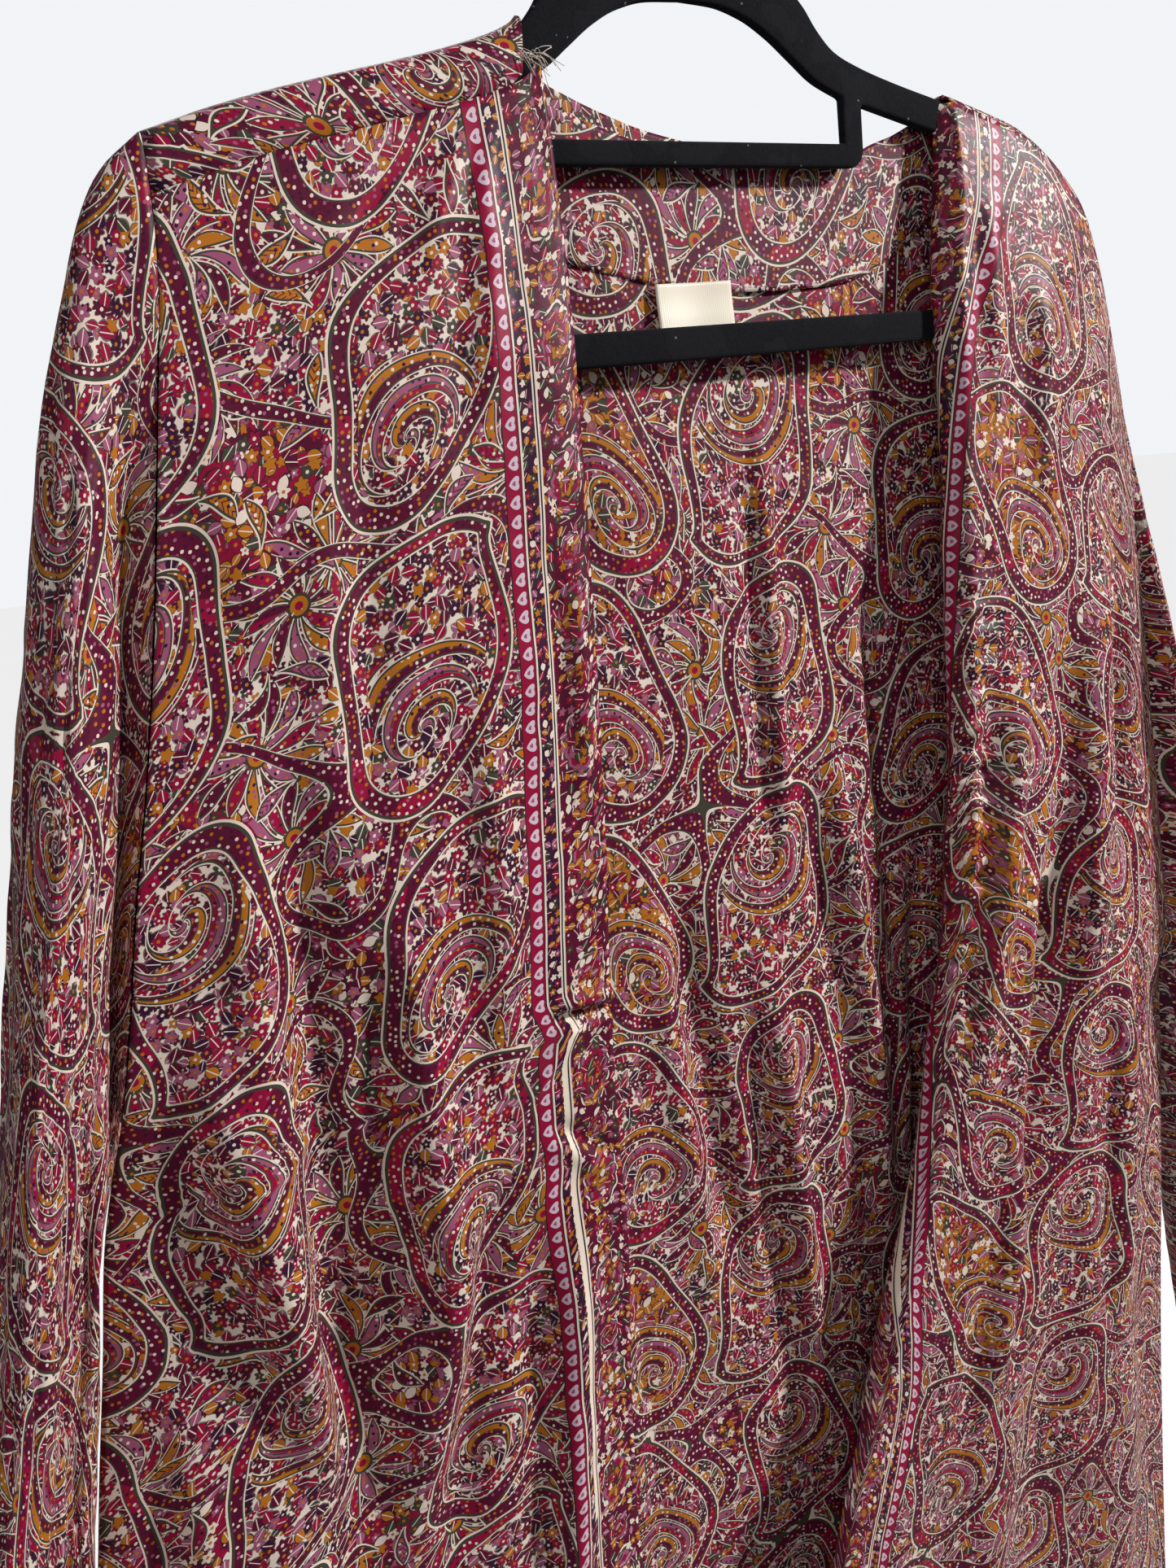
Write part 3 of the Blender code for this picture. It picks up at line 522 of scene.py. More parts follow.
def creased(x, z, rows):
    """Height of short creases: each is a soft ridge with a hollow along one side.
    Each row: x and z at one end, x and z at the other, half width, height."""
    total = np.zeros_like(x)
    for x0, z0, x1, z1, wide, high in rows:
        length = math.hypot(x1 - x0, z1 - z0)
        dx, dz = (x1 - x0) / length, (z1 - z0) / length
        along = (x - x0) * dx + (z - z0) * dz
        off = (x - x0) * dz - (z - z0) * dx
        held = smooth(along / (0.3 * length)) * smooth((length - along) / (0.4 * length))
        total += high * held * (bell(off, wide) - 0.55 * bell(off - 1.7 * wide, wide))
    return total


# The print, in millimetres of flat cloth. Large paisleys stand upright in three columns, those of the
# middle one turned over. Plumes, leaves, winding bands and florets fill the ground between them.
PRINT_NOTES = ("cloth", "paisley", "swirl")    # attributes that keep each corner's place in the print
PRINT_WIDE, PRINT_LONG = 320.0, 240.0
TURN = 2.0 * math.pi
# columns: u and v of the round end, its radius, turn, curl, length of the tail in radii, kind of ground
LARGE_PAISLEYS = [
    (50, 78, 33, 0.15, -1.3, 2.8, 0), (56, 196, 31, 0, -1.5, 2.9, 3), (160, 20, 31, 3, 1.5, 2.9, 1),
    (155, 140, 34, 3.3, 1.3, 2.7, 2), (266, 96, 31, 0.25, 1.5, 3, 1), (262, 214, 33, 0.1, 1.3, 2.7, 0)]


def spine(curl, length):
    """Middle line and half widths of a paisley, in units of its radius."""
    t = np.linspace(0.0, 1.0, 40)
    heading = curl * t**1.3
    step = length / (len(t) - 1)
    x = np.concatenate([[0.0], np.cumsum(np.sin(heading[:-1]) * step)])
    y = np.concatenate([[0.0], np.cumsum(-np.cos(heading[:-1]) * step)])
    half = (1.0 + 0.35 * np.sin(np.pi * t)) * (1.0 - t**2) ** 0.95
    return x, y, heading, np.maximum(half, 0.02), t * length


def repeats(far, at, reach, size):
    """Numbers of the repeats of the print that come near a piece of cloth."""
    return range(math.floor((far.min() - at - reach) / size), math.ceil((far.max() - at + reach) / size) + 1)


def lay_print(u, v, table):
    """The nearest paisley of a repeating table at each place on the cloth.

    Gives the distance to its outline, less than nothing inside, the distance along it, its kind and
    the place from its round end."""
    u, v = u + 7.0 * np.sin(TURN * v / 117.0), v + 6.0 * np.sin(TURN * u / 149.0)
    best = np.full(u.size, 60.0)
    found = np.zeros((4, u.size))
    for cu, cv, radius, turned, curl, length, kind in table:
        x, y, heading, half, arc = spine(curl, length)
        reach = radius * (length + 1.0) + 40.0
        cos, sin = math.cos(turned), math.sin(turned)
        down = repeats(v, cv, reach, PRINT_LONG)
        for i, j in [(i, j) for i in repeats(u, cu, reach, PRINT_WIDE) for j in down]:
            du, dv = u - cu - i * PRINT_WIDE, v - cv - j * PRINT_LONG
            near = np.flatnonzero((np.abs(du) < reach) & (np.abs(dv) < reach))
            if not near.size:
                continue
            px = (du[near] * cos + dv[near] * sin) / radius
            py = (dv[near] * cos - du[near] * sin) / radius
            far = np.hypot(px[:, None] - x, py[:, None] - y) - half
            at = far.argmin(1)
            off = far[np.arange(near.size), at] * radius
            ahead = (px - x[at]) * np.sin(heading[at]) - (py - y[at]) * np.cos(heading[at])
            beside = (px - x[at]) * np.cos(heading[at]) + (py - y[at]) * np.sin(heading[at])
            round_end = (at == 0) & (ahead < 0.0)
            run = np.where(round_end, np.arctan2(np.abs(beside), -ahead), np.pi / 2 + arc[at] + ahead)
            told = [run * radius, np.full(near.size, kind), px * -np.sign(curl), py]
            closer = off < best[near]
            best[near] = np.where(closer, off, best[near])
            found[:, near] = np.where(closer, told, found[:, near])
    return best, found


def hang_cloth(name, node, mid, finish, flat=None, edge=0.0, ring=False):
    """A closed thin shell on a grid of points.

    flat is each point's place in the print and edge its distance from a free edge. Both are kept at
    every corner. In a ring the last column lies on the first one and is joined to it."""
    rows, cols = mid.shape[:2]
    other = rows * cols
    half_wall = outward(mid, ring) * SHELL / 2
    points = np.concatenate([(mid + half_wall).reshape(-1, 3), (mid - half_wall).reshape(-1, 3)]) * MM
    index = np.arange(other).reshape(rows, cols)
    face = np.stack([index[:-1, :-1], index[:-1, 1:], index[1:, 1:], index[1:, :-1]], -1).reshape(-1, 4)
    rims = [index[0, ::-1], index[-1]] + ([] if ring else [index[:, 0], index[::-1, -1]])
    rim_walls = [np.stack([rim[:-1], rim[1:], rim[1:] + other, rim[:-1] + other], 1) for rim in rims]
    corners = np.concatenate([face, face[:, ::-1] + other, *rim_walls])
    joined = index.copy()
    if ring:
        joined[:, -1] = joined[:, 0]
    joined = np.concatenate([joined.ravel(), joined.ravel() + other])
    kept_points, corner_points = np.unique(joined[corners], return_inverse=True)
    mesh = bpy.data.meshes.new(name)
    mesh.from_pydata(points[kept_points].tolist(), [], corner_points.reshape(corners.shape).tolist())
    if flat:
        u, v, edge = [values.ravel() for values in np.broadcast_arrays(*flat, edge)]
        off, (run, kind, px, py) = lay_print(u, v, LARGE_PAISLEYS)
        for told, values in zip(PRINT_NOTES, [(u, v, edge), (off, run, kind), (px, py, 0 * px)]):
            at_corners = np.stack(values, 1)[corners.ravel() % other].astype(np.float32)
            mesh.attributes.new(told, "FLOAT_VECTOR", "CORNER").data.foreach_set("vector", at_corners.ravel())
    body = bmesh.new()
    body.from_mesh(mesh)
    bmesh.ops.recalc_face_normals(body, faces=body.faces)
    body.to_mesh(mesh)
    body.free()
    mesh.materials.append(finish)
    mesh.shade_smooth()
    piece = bpy.data.objects.new(name, mesh)
    bpy.context.scene.collection.objects.link(piece)
    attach(piece, "root")
    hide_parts(node)
    return piece


def dye(red, green, blue):
    """A colour named as it shows on a screen, as the shader needs it."""
    shares = [part / 255.0 for part in (red, green, blue)]
    return tuple(s / 12.92 if s <= 0.04045 else ((s + 0.055) / 1.055) ** 2.4 for s in shares)


BURGUNDY, CRIMSON, ROSE = dye(92, 14, 46), dye(148, 12, 56), dye(160, 84, 116)
OCHRE, OLIVE, DARK_OLIVE = dye(184, 110, 30), dye(66, 64, 52), dye(36, 34, 33)
CREAM, AUBERGINE = dye(232, 213, 198), dye(58, 18, 50)
RAGGED_CREAM, PALE_ROSE = dye(244, 226, 206), dye(214, 190, 202)
ON_LIGHT = [(0, CRIMSON), (0.3, AUBERGINE), (0.46, BURGUNDY), (0.72, ROSE), (0.84, OCHRE), (0.94, OLIVE)]
ON_DARK = [(0, CREAM), (0.17, OCHRE), (0.35, ROSE), (0.5, CRIMSON), (0.68, OLIVE), (0.82, BURGUNDY)]
MEADOW_SCALE, LIGHT_MEADOW = 0.014, 0.53    # where the noise of the ground is below this, it is cream
BAND_DEPTH, BAND_TAPER = 8.6, 0.034         # the band round a paisley is thickest at the round end
CLEAR_OF_PAISLEY = 3.4  # plumes and leaves keep this far from a large one
PLUMES_ROUND = 13.0     # plumes in a whole fan


def strewn(at, u, v, cell, shift):
    """Small places strewn over the cloth: the distance and the way from the nearest one, in cells, and
    its three random numbers."""
    grid = at.node("CombineXYZ", {}, {0: u / cell + shift, 1: v / cell})
    spot = at.node("TexVoronoi", {"voronoi_dimensions": "2D"},
                   {"Vector": grid, "Scale": 1.0, "Randomness": 0.85}, "Distance")
    apart = at.node("VectorMath", {"operation": "SUBTRACT"}, {0: grid, 1: spot.also("Position")})
    across, along, _ = apart.parts()
    return spot, across, along, spot.also("Color").parts()


def turned_by(across, along, lean):
    cos, sin = lean.sum("COSINE"), lean.sum("SINE")
    return across * cos + along * sin, along * cos - across * sin


def chosen(at, by, stops):
    return at.node("ValToRGB", {"stops": stops}, {0: by})


def tapered(share, power):
    """Width along a leaf: nothing at its ends, most a little past the middle."""
    return ((share.sum("MAXIMUM", 0.0).sum("MINIMUM", 1.0) ** power) * math.pi).sum("SINE")


def flowered(at, u, v, cell, shift, ground, dark):
    """Florets and leaves on a ground, in one set of dyes where it is dark and another where it is light."""
    away, across, along, (chance_a, chance_b, chance_c) = strewn(at, u, v, cell, shift)
    around = along.sum("ARCTAN2", across)
    petal = (around * 5.0 + chance_a * TURN).sum("COSINE") * 0.10 + 0.39
    length, width = turned_by(across, along, chance_c * TURN)
    leaf_form = length * length * 3.2 + abs(width) * 2.7
    is_leaf = chance_b > 0.52
    is_bloom = 1.0 - is_leaf
    rim = (away < petal + 0.06) * is_bloom + (leaf_form < 1.3) * is_leaf
    shape = (away < petal) * is_bloom + (leaf_form < 1.0) * is_leaf
    tint = chosen(at, chance_a, ON_LIGHT).under(dark, chosen(at, chance_a, ON_DARK))
    made = ground.under(rim * 0.8, DARK_OLIVE).under(shape, tint)
    made = made.under((away < 0.12) * is_bloom, chosen(at, chance_b, [(0.0, OCHRE), (0.3, CREAM)]))
    return made.under((abs(width) < 0.035) * (leaf_form < 0.9) * is_leaf, CREAM)


def sprayed(at, u, v, cell, shift, ground, where):
    """Bent leaves with a dark rim and ribs, and where they are filled."""
    _, across, along, (chance_a, chance_b, chance_c) = strewn(at, u, v, cell, shift)
    length, width = turned_by(across, along, chance_a * TURN)
    bent = abs(width - (chance_b - 0.5) * length * length * 2.6)
    share = length * 1.25 + 0.5
    off = (bent - tapered(share, 1.5) * 0.11) * cell
    inside = where * share.between(0.0, 1.0)
    fill = chosen(at, chance_c,
                  [(0.0, ROSE), (0.24, OCHRE), (0.46, BURGUNDY), (0.62, OCHRE), (0.78, CRIMSON)])
    rib = (length * (cell / 3.0) - bent * (cell / 2.2)).sum("FRACT") < 0.26
    made = ground.layered(off, inside, [(0.8, CREAM), (0.1, OLIVE)])
    filled = (off < -0.8) * inside
    return made.under(filled, fill).under(rib * filled, BURGUNDY), filled


def plumed(at, u, v, cell, shift, ground, where):
    """Fans of narrow plumes that sweep out of one point and bend over, and where they are filled."""
    far, across, along, (chance_a, chance_b, _) = strewn(at, u, v, cell, shift)
    around = along.sum("ARCTAN2", across) * (1.0 / TURN) + chance_a
    ray = around * PLUMES_ROUND + far * (chance_b - 0.5) * 11.0
    plume = ray.sum("FLOOR")
    reach = far / 0.46 + (plume * 2.4 + chance_a * 9.0).sum("SINE") * 0.16
    off = abs(ray.sum("FRACT") - 0.5) * far * (cell * TURN / PLUMES_ROUND) - tapered(reach, 1.7) * 0.05 * cell
    inside = where * reach.between(0.05, 1.0)
    fill = chosen(at, (plume * 0.37 + chance_b).sum("FRACT"),
                  [(0.0, ROSE), (0.3, CRIMSON), (0.55, BURGUNDY), (0.8, OCHRE)])
    made = ground.layered(off, inside, [(0.7, CREAM), (0.15, OLIVE)])
    filled = (off < -0.6) * inside
    made = made.under(filled, fill).layered(far, where, [(0.085, OLIVE), (0.065, OCHRE), (0.03, CRIMSON)])
    return made, filled


def oval(along, across, tall, wide):
    return (along / tall) ** 2.0 + (across / wide) ** 2.0


def medallions(made, step, across, wide, tall):
    """Rosettes in a row along a border."""
    scallops = (step.sum("ARCTAN2", across) * 9.0).sum("COSINE") * 0.05
    return made.layered(oval(step, across, tall, wide).sum("SQRT") + scallops, 1.0, [
        (0.98, CREAM), (0.9, OLIVE), (0.8, ROSE), (0.66, CRIMSON), (0.46, OLIVE), (0.38, OCHRE),
        (0.17, BURGUNDY)])


def in_row(v, step, shift=0.0):
    """Distance along the cloth from the middle of the nearest motif of a row."""
    return ((v / step + shift).sum("FRACT") - 0.5) * step


RAGGED_FROM, RAGGED_TO = 385.0, 660.0       # where a line of the border is printed thick and ragged
ROSETTE_STEP, ROSETTE_LINE = 57.0, 13.5
DROP_STEP, DROP_LINE = 8.1, 40.8


def bordered(at, made, edge, v):
    """The cloth's own border, that the free edge of a front is cut along."""
    plain = at.node("RGB", {}, {})
    plain.socket.default_value = (*BURGUNDY, 1.0)
    across = edge - ROSETTE_LINE
    band = medallions(plain, in_row(v, ROSETTE_STEP), across, 10.5, 16.5)
    band = medallions(band, in_row(v, ROSETTE_STEP, 0.5), across, 6.0, 7.0)
    band = flowered(at, edge, v, 4.2, 31.0, band, 1.0)
    inner = flowered(at, edge, v, 3.6, 57.0, plain.under(1.0, AUBERGINE), 1.0)
    start = 0.0
    for stop, dyed in [(26.0, band), (27.0, CREAM), (27.8, DARK_OLIVE), (28.6, CREAM), (35.6, inner),
                       (36.6, CREAM), (37.2, DARK_OLIVE), (44.4, CRIMSON), (45.0, DARK_OLIVE)]:
        made = made.under(edge.between(start - 0.001, stop), dyed)
        start = stop
    torn = at.node("TexNoise", {"noise_dimensions": "1D"}, {"W": v * 0.35, "Scale": 1.0, "Detail": 3.0})
    bare = v.between(RAGGED_FROM, RAGGED_TO) * (edge > 28.0 + torn * 0.7) * (edge < 30.2 + torn * 1.6)
    drop = in_row(v, DROP_STEP)
    drop_form = oval(drop, edge - DROP_LINE + abs(drop) * 0.5, 2.9, 2.3)
    return made.under(bare, RAGGED_CREAM).under(drop_form < 1.0, PALE_ROSE).under(drop_form < 0.12, ROSE)


def printed_silk(name, with_border):
    """Satin faced silk with the paisley print."""
    silk, shader, at = new_finish(name, 0.45, Sheen_Weight=0.04, Sheen_Roughness=0.4, Specular_IOR_Level=0.14)
    (u, v, edge), (off, run, kind), (px, py, _) = [
        at.node("Attribute", {"attribute_name": told}, {}, "Vector").parts() for told in PRINT_NOTES]
    spread = at.node("CombineXYZ", {}, {0: u * MEADOW_SCALE, 1: v * MEADOW_SCALE})
    meadow = at.node("TexNoise", {"noise_dimensions": "2D"}, {"Vector": spread, "Scale": 1.0, "Detail": 0.0})
    within = off + BAND_DEPTH - run * BAND_TAPER
    inside = within < 0.0
    far = (px * px + py * py).sum("SQRT")
    around = py.sum("ARCTAN2", px)

    # ground: cream in some meadows, dyed in the others, strewn with florets, plumes and leaves
    light = (1.0 - inside) * (meadow < LIGHT_MEADOW) + inside * kind.between(-0.5, 2.5)
    made = chosen(at, meadow, [(0.0, CREAM), (LIGHT_MEADOW, ROSE), (0.60, BURGUNDY), (0.68, CRIMSON)])
    made = made.under(inside, chosen(at, kind * 0.25 + 0.1, [(0.0, CREAM), (0.75, OCHRE)]))
    for cell, shift in [(4.5, 0.0), (6.2, 17.0)]:
        made = flowered(at, u, v, cell, shift, made, 1.0 - light)
    made, on_plume = plumed(at, u, v, 58.0, 5.0, made, off > CLEAR_OF_PAISLEY)
    made, on_leaf = sprayed(at, u, v, 27.0, 11.0, made, off > CLEAR_OF_PAISLEY)

    # vines: bands that wind over the cloth and swell and taper as they go
    winding = abs(meadow - LIGHT_MEADOW)
    out = off > 3.0
    on_vine = out * (winding < 0.024)
    made = made.layered(winding, out, [(0.034, CREAM), (0.030, OLIVE), (0.024, BURGUNDY)])

    # hooked plumes, one inside another, in each large paisley
    coil = around * (2.0 / TURN) + far * 3.3
    middle = abs(coil.sum("FRACT") - 0.5)
    blade = middle * 2.0 - 0.38 - (around + 1.0).sum("COSINE") * 0.42
    hooked = (within < kind.between(0.5, 3.5) * 3.5 - 5.5) * (far + (py * 3.0).sum("SINE") * 0.10 < 1.06)
    on_blade = hooked * (blade < -0.16)
    fill = chosen(at, (coil * 0.5).sum("FRACT"),
                  [(0.0, BURGUNDY), (0.24, OCHRE), (0.42, CRIMSON), (0.72, ROSE)])
    made = made.layered(blade, hooked, [(0.10, CREAM), (0.0, OLIVE), (-0.16, fill)])
    made = made.under(hooked * (middle < 0.035) * (blade < -0.3), OLIVE)

    # the band round each large paisley, then flecks on all the filled forms
    made = made.layered(off, 1.0 - inside, [(2.6, CREAM), (1.6, OLIVE)])
    on_band = (off < 0.3) * (within > 1.3)
    made = made.under(on_band, chosen(at, meadow, [(0.0, BURGUNDY), (0.5, CRIMSON), (0.6, BURGUNDY)]))
    made = made.under(within.between(0.0, 0.7), CREAM)
    away, _, _, (chance, _, _) = strewn(at, u, v, 3.1, 43.0)
    flecks = (away < 0.24) * (on_band + on_vine + on_blade + on_plume + on_leaf)
    fleck_dye = chosen(at, chance, [(0.0, CREAM), (0.34, OCHRE), (0.6, ROSE), (0.8, AUBERGINE)])
    made = made.under(flecks, fleck_dye)
    if with_border:
        made = bordered(at, made, edge, v)
    made.feeds(shader, "Base Color")
    threads = at.place().noise(700.0, 2.0)
    (threads * 0.16 + 0.38).feeds(shader, "Roughness")
    threads.bump(0.22, 0.0003).feeds(shader, "Normal")
    return silk


all_over_silk = printed_silk("all_over_silk", False)

# columns: x at the top, drop of the top edge from the shoulder seam's line
NECK = [
    (-87.6, 20.8), (-85.8, 14), (-84.4, 7.5), (-83.2, 3), (-82, -0.5), (-80.9, -4), (-79.5, -9),
    (-76.9, -16.8), (-70, -27), (-60, -31.5), (-44, -37), (-22, -42.5), (0, -45), (25, -46.5), (50, -46),
    (75, -43), (100, -36.5), (120, -27), (137, -17.5), (147.4, -10.5), (151.9, -5.5),
    (154.6, -2), (156.4, 0.5), (158.4, RIGHT_SEAM)]
LEFT_TOP = [(x, SHOULDER_SEAM) for x in (-242, -218, -194, -168, -140, -112, -92)]
RIGHT_TOP = [(x, RIGHT_SEAM) for x in (174, 190, 206, 222, 238, 252, 264, 272, 279)]
# heights of the upper rows above and below the crest, and the least step between two of them
OVER_SHOULDER = [22, 12, 5.5, 1.8, 0, -1.8, -5.5, -12, -24, -40]
LEAST_STEP = 0.7
FRONT_TOP = [SEAM, 9, 22, 40]
ARMHOLE_ROWS = [0.09, 0.20, 0.32, 0.44, 0.56, 0.68, 0.80, 0.91, 1]
SKIRT_ROWS = [0.045, 0.11, 0.19, 0.28, 0.38, 0.48, 0.58, 0.68, 0.78, 0.88, 0.95, 1]
# columns: x top, z top, x foot, z foot, half width, height, fade
BACK_FOLDS = [
    (-300, -520, -330, -1270, 30, 6, 0.3), (-170, -420, -190, -1270, 34, -5, 0.4),
    (-40, -330, -70, -1270, 36, 7, 0.4), (62, -380, 54, -1270, 26, -6.5, 0.3),
    (128, -420, 150, -1270, 30, 8, 0.4), (236, -520, 250, -1270, 30, -4.5, 0.4)]
BACK_SLACK = 9.0


def upper_rows(top_run):
    """Heights about the crest of the upper rows, below a top edge at top_run."""
    step = LEAST_STEP + 1.2 * np.clip(-top_run / 46.0, 0.0, 1.0)
    return [np.minimum(over, top_run - step * k) for k, over in enumerate(OVER_SHOULDER)]


def near_side(x, side_x):
    """One at a side edge, nothing 60 mm away from it."""
    return (1.0 - np.clip(np.abs(x - side_x) / 60.0, 0.0, 1.0)) ** 2


def rows_below(yoke, underarm_z):
    """Shares of the way from the yoke to the hem of the rows down a side edge."""
    armhole = [yoke + (underarm_z - yoke) * share for share in ARMHOLE_ROWS]
    heights = armhole + [underarm_z + (HEM_Z - underarm_z) * share for share in SKIRT_ROWS]
    return (yoke - np.array(heights)) / (yoke - HEM_Z)


top_edge = LEFT_TOP + NECK + RIGHT_TOP
top_x = np.array([row[0] for row in top_edge])
top_run = np.array([row[1] for row in top_edge])
girth = np.concatenate([[0.0], np.cumsum(np.maximum(np.abs(np.diff(top_x)), 5.5))])
girth /= girth[-1]
hem_x = curve(LEFT_SIDE, HEM_Z) + (curve(RIGHT_SIDE, HEM_Z) - curve(LEFT_SIDE, HEM_Z)) * girth
back_rows = []
for run in upper_rows(top_run):
    height = crest_z(top_x) - np.abs(run)
    x = top_x + (curve(LEFT_SIDE, height[0]) - top_x[0]) * near_side(top_x, top_x[0])
    x = x + (curve(RIGHT_SIDE, height[-1]) - top_x[-1]) * near_side(top_x, top_x[-1])
    back_rows.append((x, crest_z(top_x) + run, run))
yoke_z = back_rows[-1][1]
side_shares = rows_below(yoke_z[0], UNDERARM_L[1]), rows_below(yoke_z[-1], UNDERARM_R[1])
for left_share, right_share in zip(*side_shares):
    share = left_share + (right_share - left_share) * girth
    z = yoke_z + (HEM_Z - yoke_z) * share
    x = top_x + (hem_x - top_x) * smooth(share * 1.15) ** 0.9
    left_gap = curve(LEFT_SIDE, z[0]) - x[0]
    right_gap = curve(RIGHT_SIDE, z[-1]) - x[-1]
    x = x + left_gap * (1.0 - girth) + right_gap * girth
    back_rows.append((x, z, np.minimum(z - crest_z(x), -0.01)))


def back_depth(x, z, drop):
    left = body_depth(x, z, drop, curve(LEFT_SIDE, z), ARM_L, UNDERARM_L, BACK_SLACK, BACK_FOLDS)
    right = body_depth(x, z, drop, curve(RIGHT_SIDE, z), ARM_R, UNDERARM_R, BACK_SLACK, BACK_FOLDS)
    return np.where(x < 60.0, left, right)


back_mid = []
for x, z, wrap in back_rows:
    height = np.where(wrap > 0.0, crest_z(x) - wrap, z)
    y = back_depth(x, height, np.abs(wrap)) * np.where(wrap > 0.0, -1.0, 1.0)
    back_mid.append(np.stack([x, y, height], 1))
back_top = np.stack([np.array(back_mid)[0, :, 0], top_run], 1)
back_mid = finer(np.array(back_mid), lambda place: 3.0 if -90.0 < place[0] < 175.0 else 8.0, 1)
back_mid = finer(back_mid, lambda place: 3.0 if place[2] > -780.0 else 8.0, 0)
x, y, z = back_mid[..., 0], back_mid[..., 1], back_mid[..., 2]
# columns: x and z at one end, x and z at the other, half width, height
BACK_CREASES = [
    (36, -240, 28, -540, 6, -5), (98, -310, 112, -660, 8, 6.5), (66, -400, 88, -800, 10, -8.5),
    (-44, -440, -16, -820, 11, 9), (12, -520, 24, -900, 10, -9), (130, -480, 116, -880, 9, 8),
    (-150, -260, -170, -560, 9, 2.2), (-220, -420, -240, -800, 9, -2.4), (200, -330, 214, -640, 9, 2.4),
    (-90, -620, -100, -980, 9, 2.8), (170, -700, 180, -1080, 9, -2.8)]
calm = smooth((-100.0 - z) / 90.0) * smooth((z + 1262.0) / 30.0)
calm = calm * smooth((x - curve(LEFT_SIDE, z)) / 50.0) * smooth((curve(RIGHT_SIDE, z) - x) / 50.0)
lift = creased(x, z, BACK_CREASES) + waves(x, z, 1.5, 38.0, 15.0, 3)
back_mid = back_mid + outward(back_mid) * (lift * calm)[..., None]
u = run_from(back_mid, np.abs(back_mid[-1, :, 0]).argmin())
v = run_along(back_mid, 0) - np.interp(back_mid[0, :, 0], back_top[:, 0], back_top[:, 1])
back = hang_cloth("back", "back_panel", back_mid, all_over_silk, (u + 158.0, v - 14.0))

# Neck facing: a curved strip of the same silk laid inside the back of the neck, its top edge turned
# in with the neck seam and its lower edge stitched down by hand.
# columns: x, z of the top edge, z of the stitched lower edge
FACING_LINE = [
    (-100, -121, -174), (-92, -119, -178), (-80, -118, -181.5), (-72, -120.5, -184), (-60, -124, -187),
    (-44, -129, -190.5), (-22, -135, -195), (0, -138, -198), (23, -140.5, -200), (46, -141.5, -200.5),
    (69, -141, -200), (98, -139, -197.5), (118, -132.5, -191), (136, -128, -181), (150, -127, -171),
    (160, -128, -164), (168, -129.5, -158)]
FACING_LIFT = 1.55      # middle of the facing in front of the middle of the back panel


def on_back(x, z, lift):
    """A point lifted off the back panel's inner side."""
    x, z = np.broadcast_arrays(np.asarray(x, float), np.asarray(z, float))
    return np.stack([x, back_depth(x, z, np.maximum(crest_z(x) - z, 0.0)) - lift, z], -1)


facing_x = np.array([row[0] for row in FACING_LINE], float)
facing_top = np.array([row[1] for row in FACING_LINE]) - 0.8
facing_low = np.array([row[2] for row in FACING_LINE])
facing_mid = np.array([on_back(facing_x, facing_top + (facing_low - facing_top) * s, FACING_LIFT)
                       for s in (0.0, 0.25, 0.5, 0.75, 1.0)])
facing_mid = finer(finer(facing_mid, 2.0, 1), 2.0, 0)
u, v = run_along(facing_mid, 1), run_along(facing_mid, 0)
facing = hang_cloth("neck_facing_silk", "neck_facing", facing_mid, all_over_silk, (u + 100.0, v + 208.0))

# Neck label: a bare loop of ribbed cream satin tape, folded in two. Its ends are caught under the
# facing's lower edge, and the fold hangs free below it.
LABEL_X, LABEL_WIDE = -0.5, 43.0
LABEL_LEAN = 0.012
# columns: z, how far the tape stands off the facing's hem
LABEL_ROWS = [(-195.5, 0.0), (-201.0, 0.1), (-206.0, 0.4), (-211.0, 0.9), (-216.5, 1.3)]
satin, satin_shader, lay = new_finish("cream_satin", 0.38, dye(238, 226, 204), Sheen_Weight=0.3)
ribs = lay.node("TexWave", {"bands_direction": "X"},
                {"Vector": lay.place(), "Scale": 260.0, "Distortion": 0.6})
ribs.bump(0.25, 0.0002).feeds(satin_shader, "Normal")
across = np.linspace(LABEL_X - LABEL_WIDE / 2, LABEL_X + LABEL_WIDE / 2, 30)
cupped = np.stack([0 * across, 0.5 * np.cos(across / 7.0), 0 * across], 1)
label_mid = np.array([on_back(across, z + LABEL_LEAN * (across - LABEL_X), FACING_LIFT + 1.7 + rise) + cupped
                      for z, rise in LABEL_ROWS])
label = hang_cloth("label_loop", "neck_label", finer(label_mid, 1.5, 0), satin)

# Left front: one width of the same silk from the shoulder seam to the hem, sewn to the back at the
# side. Its free edge is cut along the cloth's printed border.
LEFT_EDGE = [
    (-119, -79), (-189, -79.5), (-232, -82), (-282, -86), (-428, -99), (-500, -107), (-581, -113),
    (-654, -117), (-703, -123), (-813, -132), (-1000, -146), (HEM_Z, -162)]
RIGHT_EDGE = [
    (-117, 154), (-182, 153), (-274, 149), (-487, 137), (-523, 133), (-606, 115), (-675, 98), (-745, 77),
    (-787, 58), (-856, 30), (-898, 10), (-1000, -20), (-1130, -44), (HEM_Z, -60)]
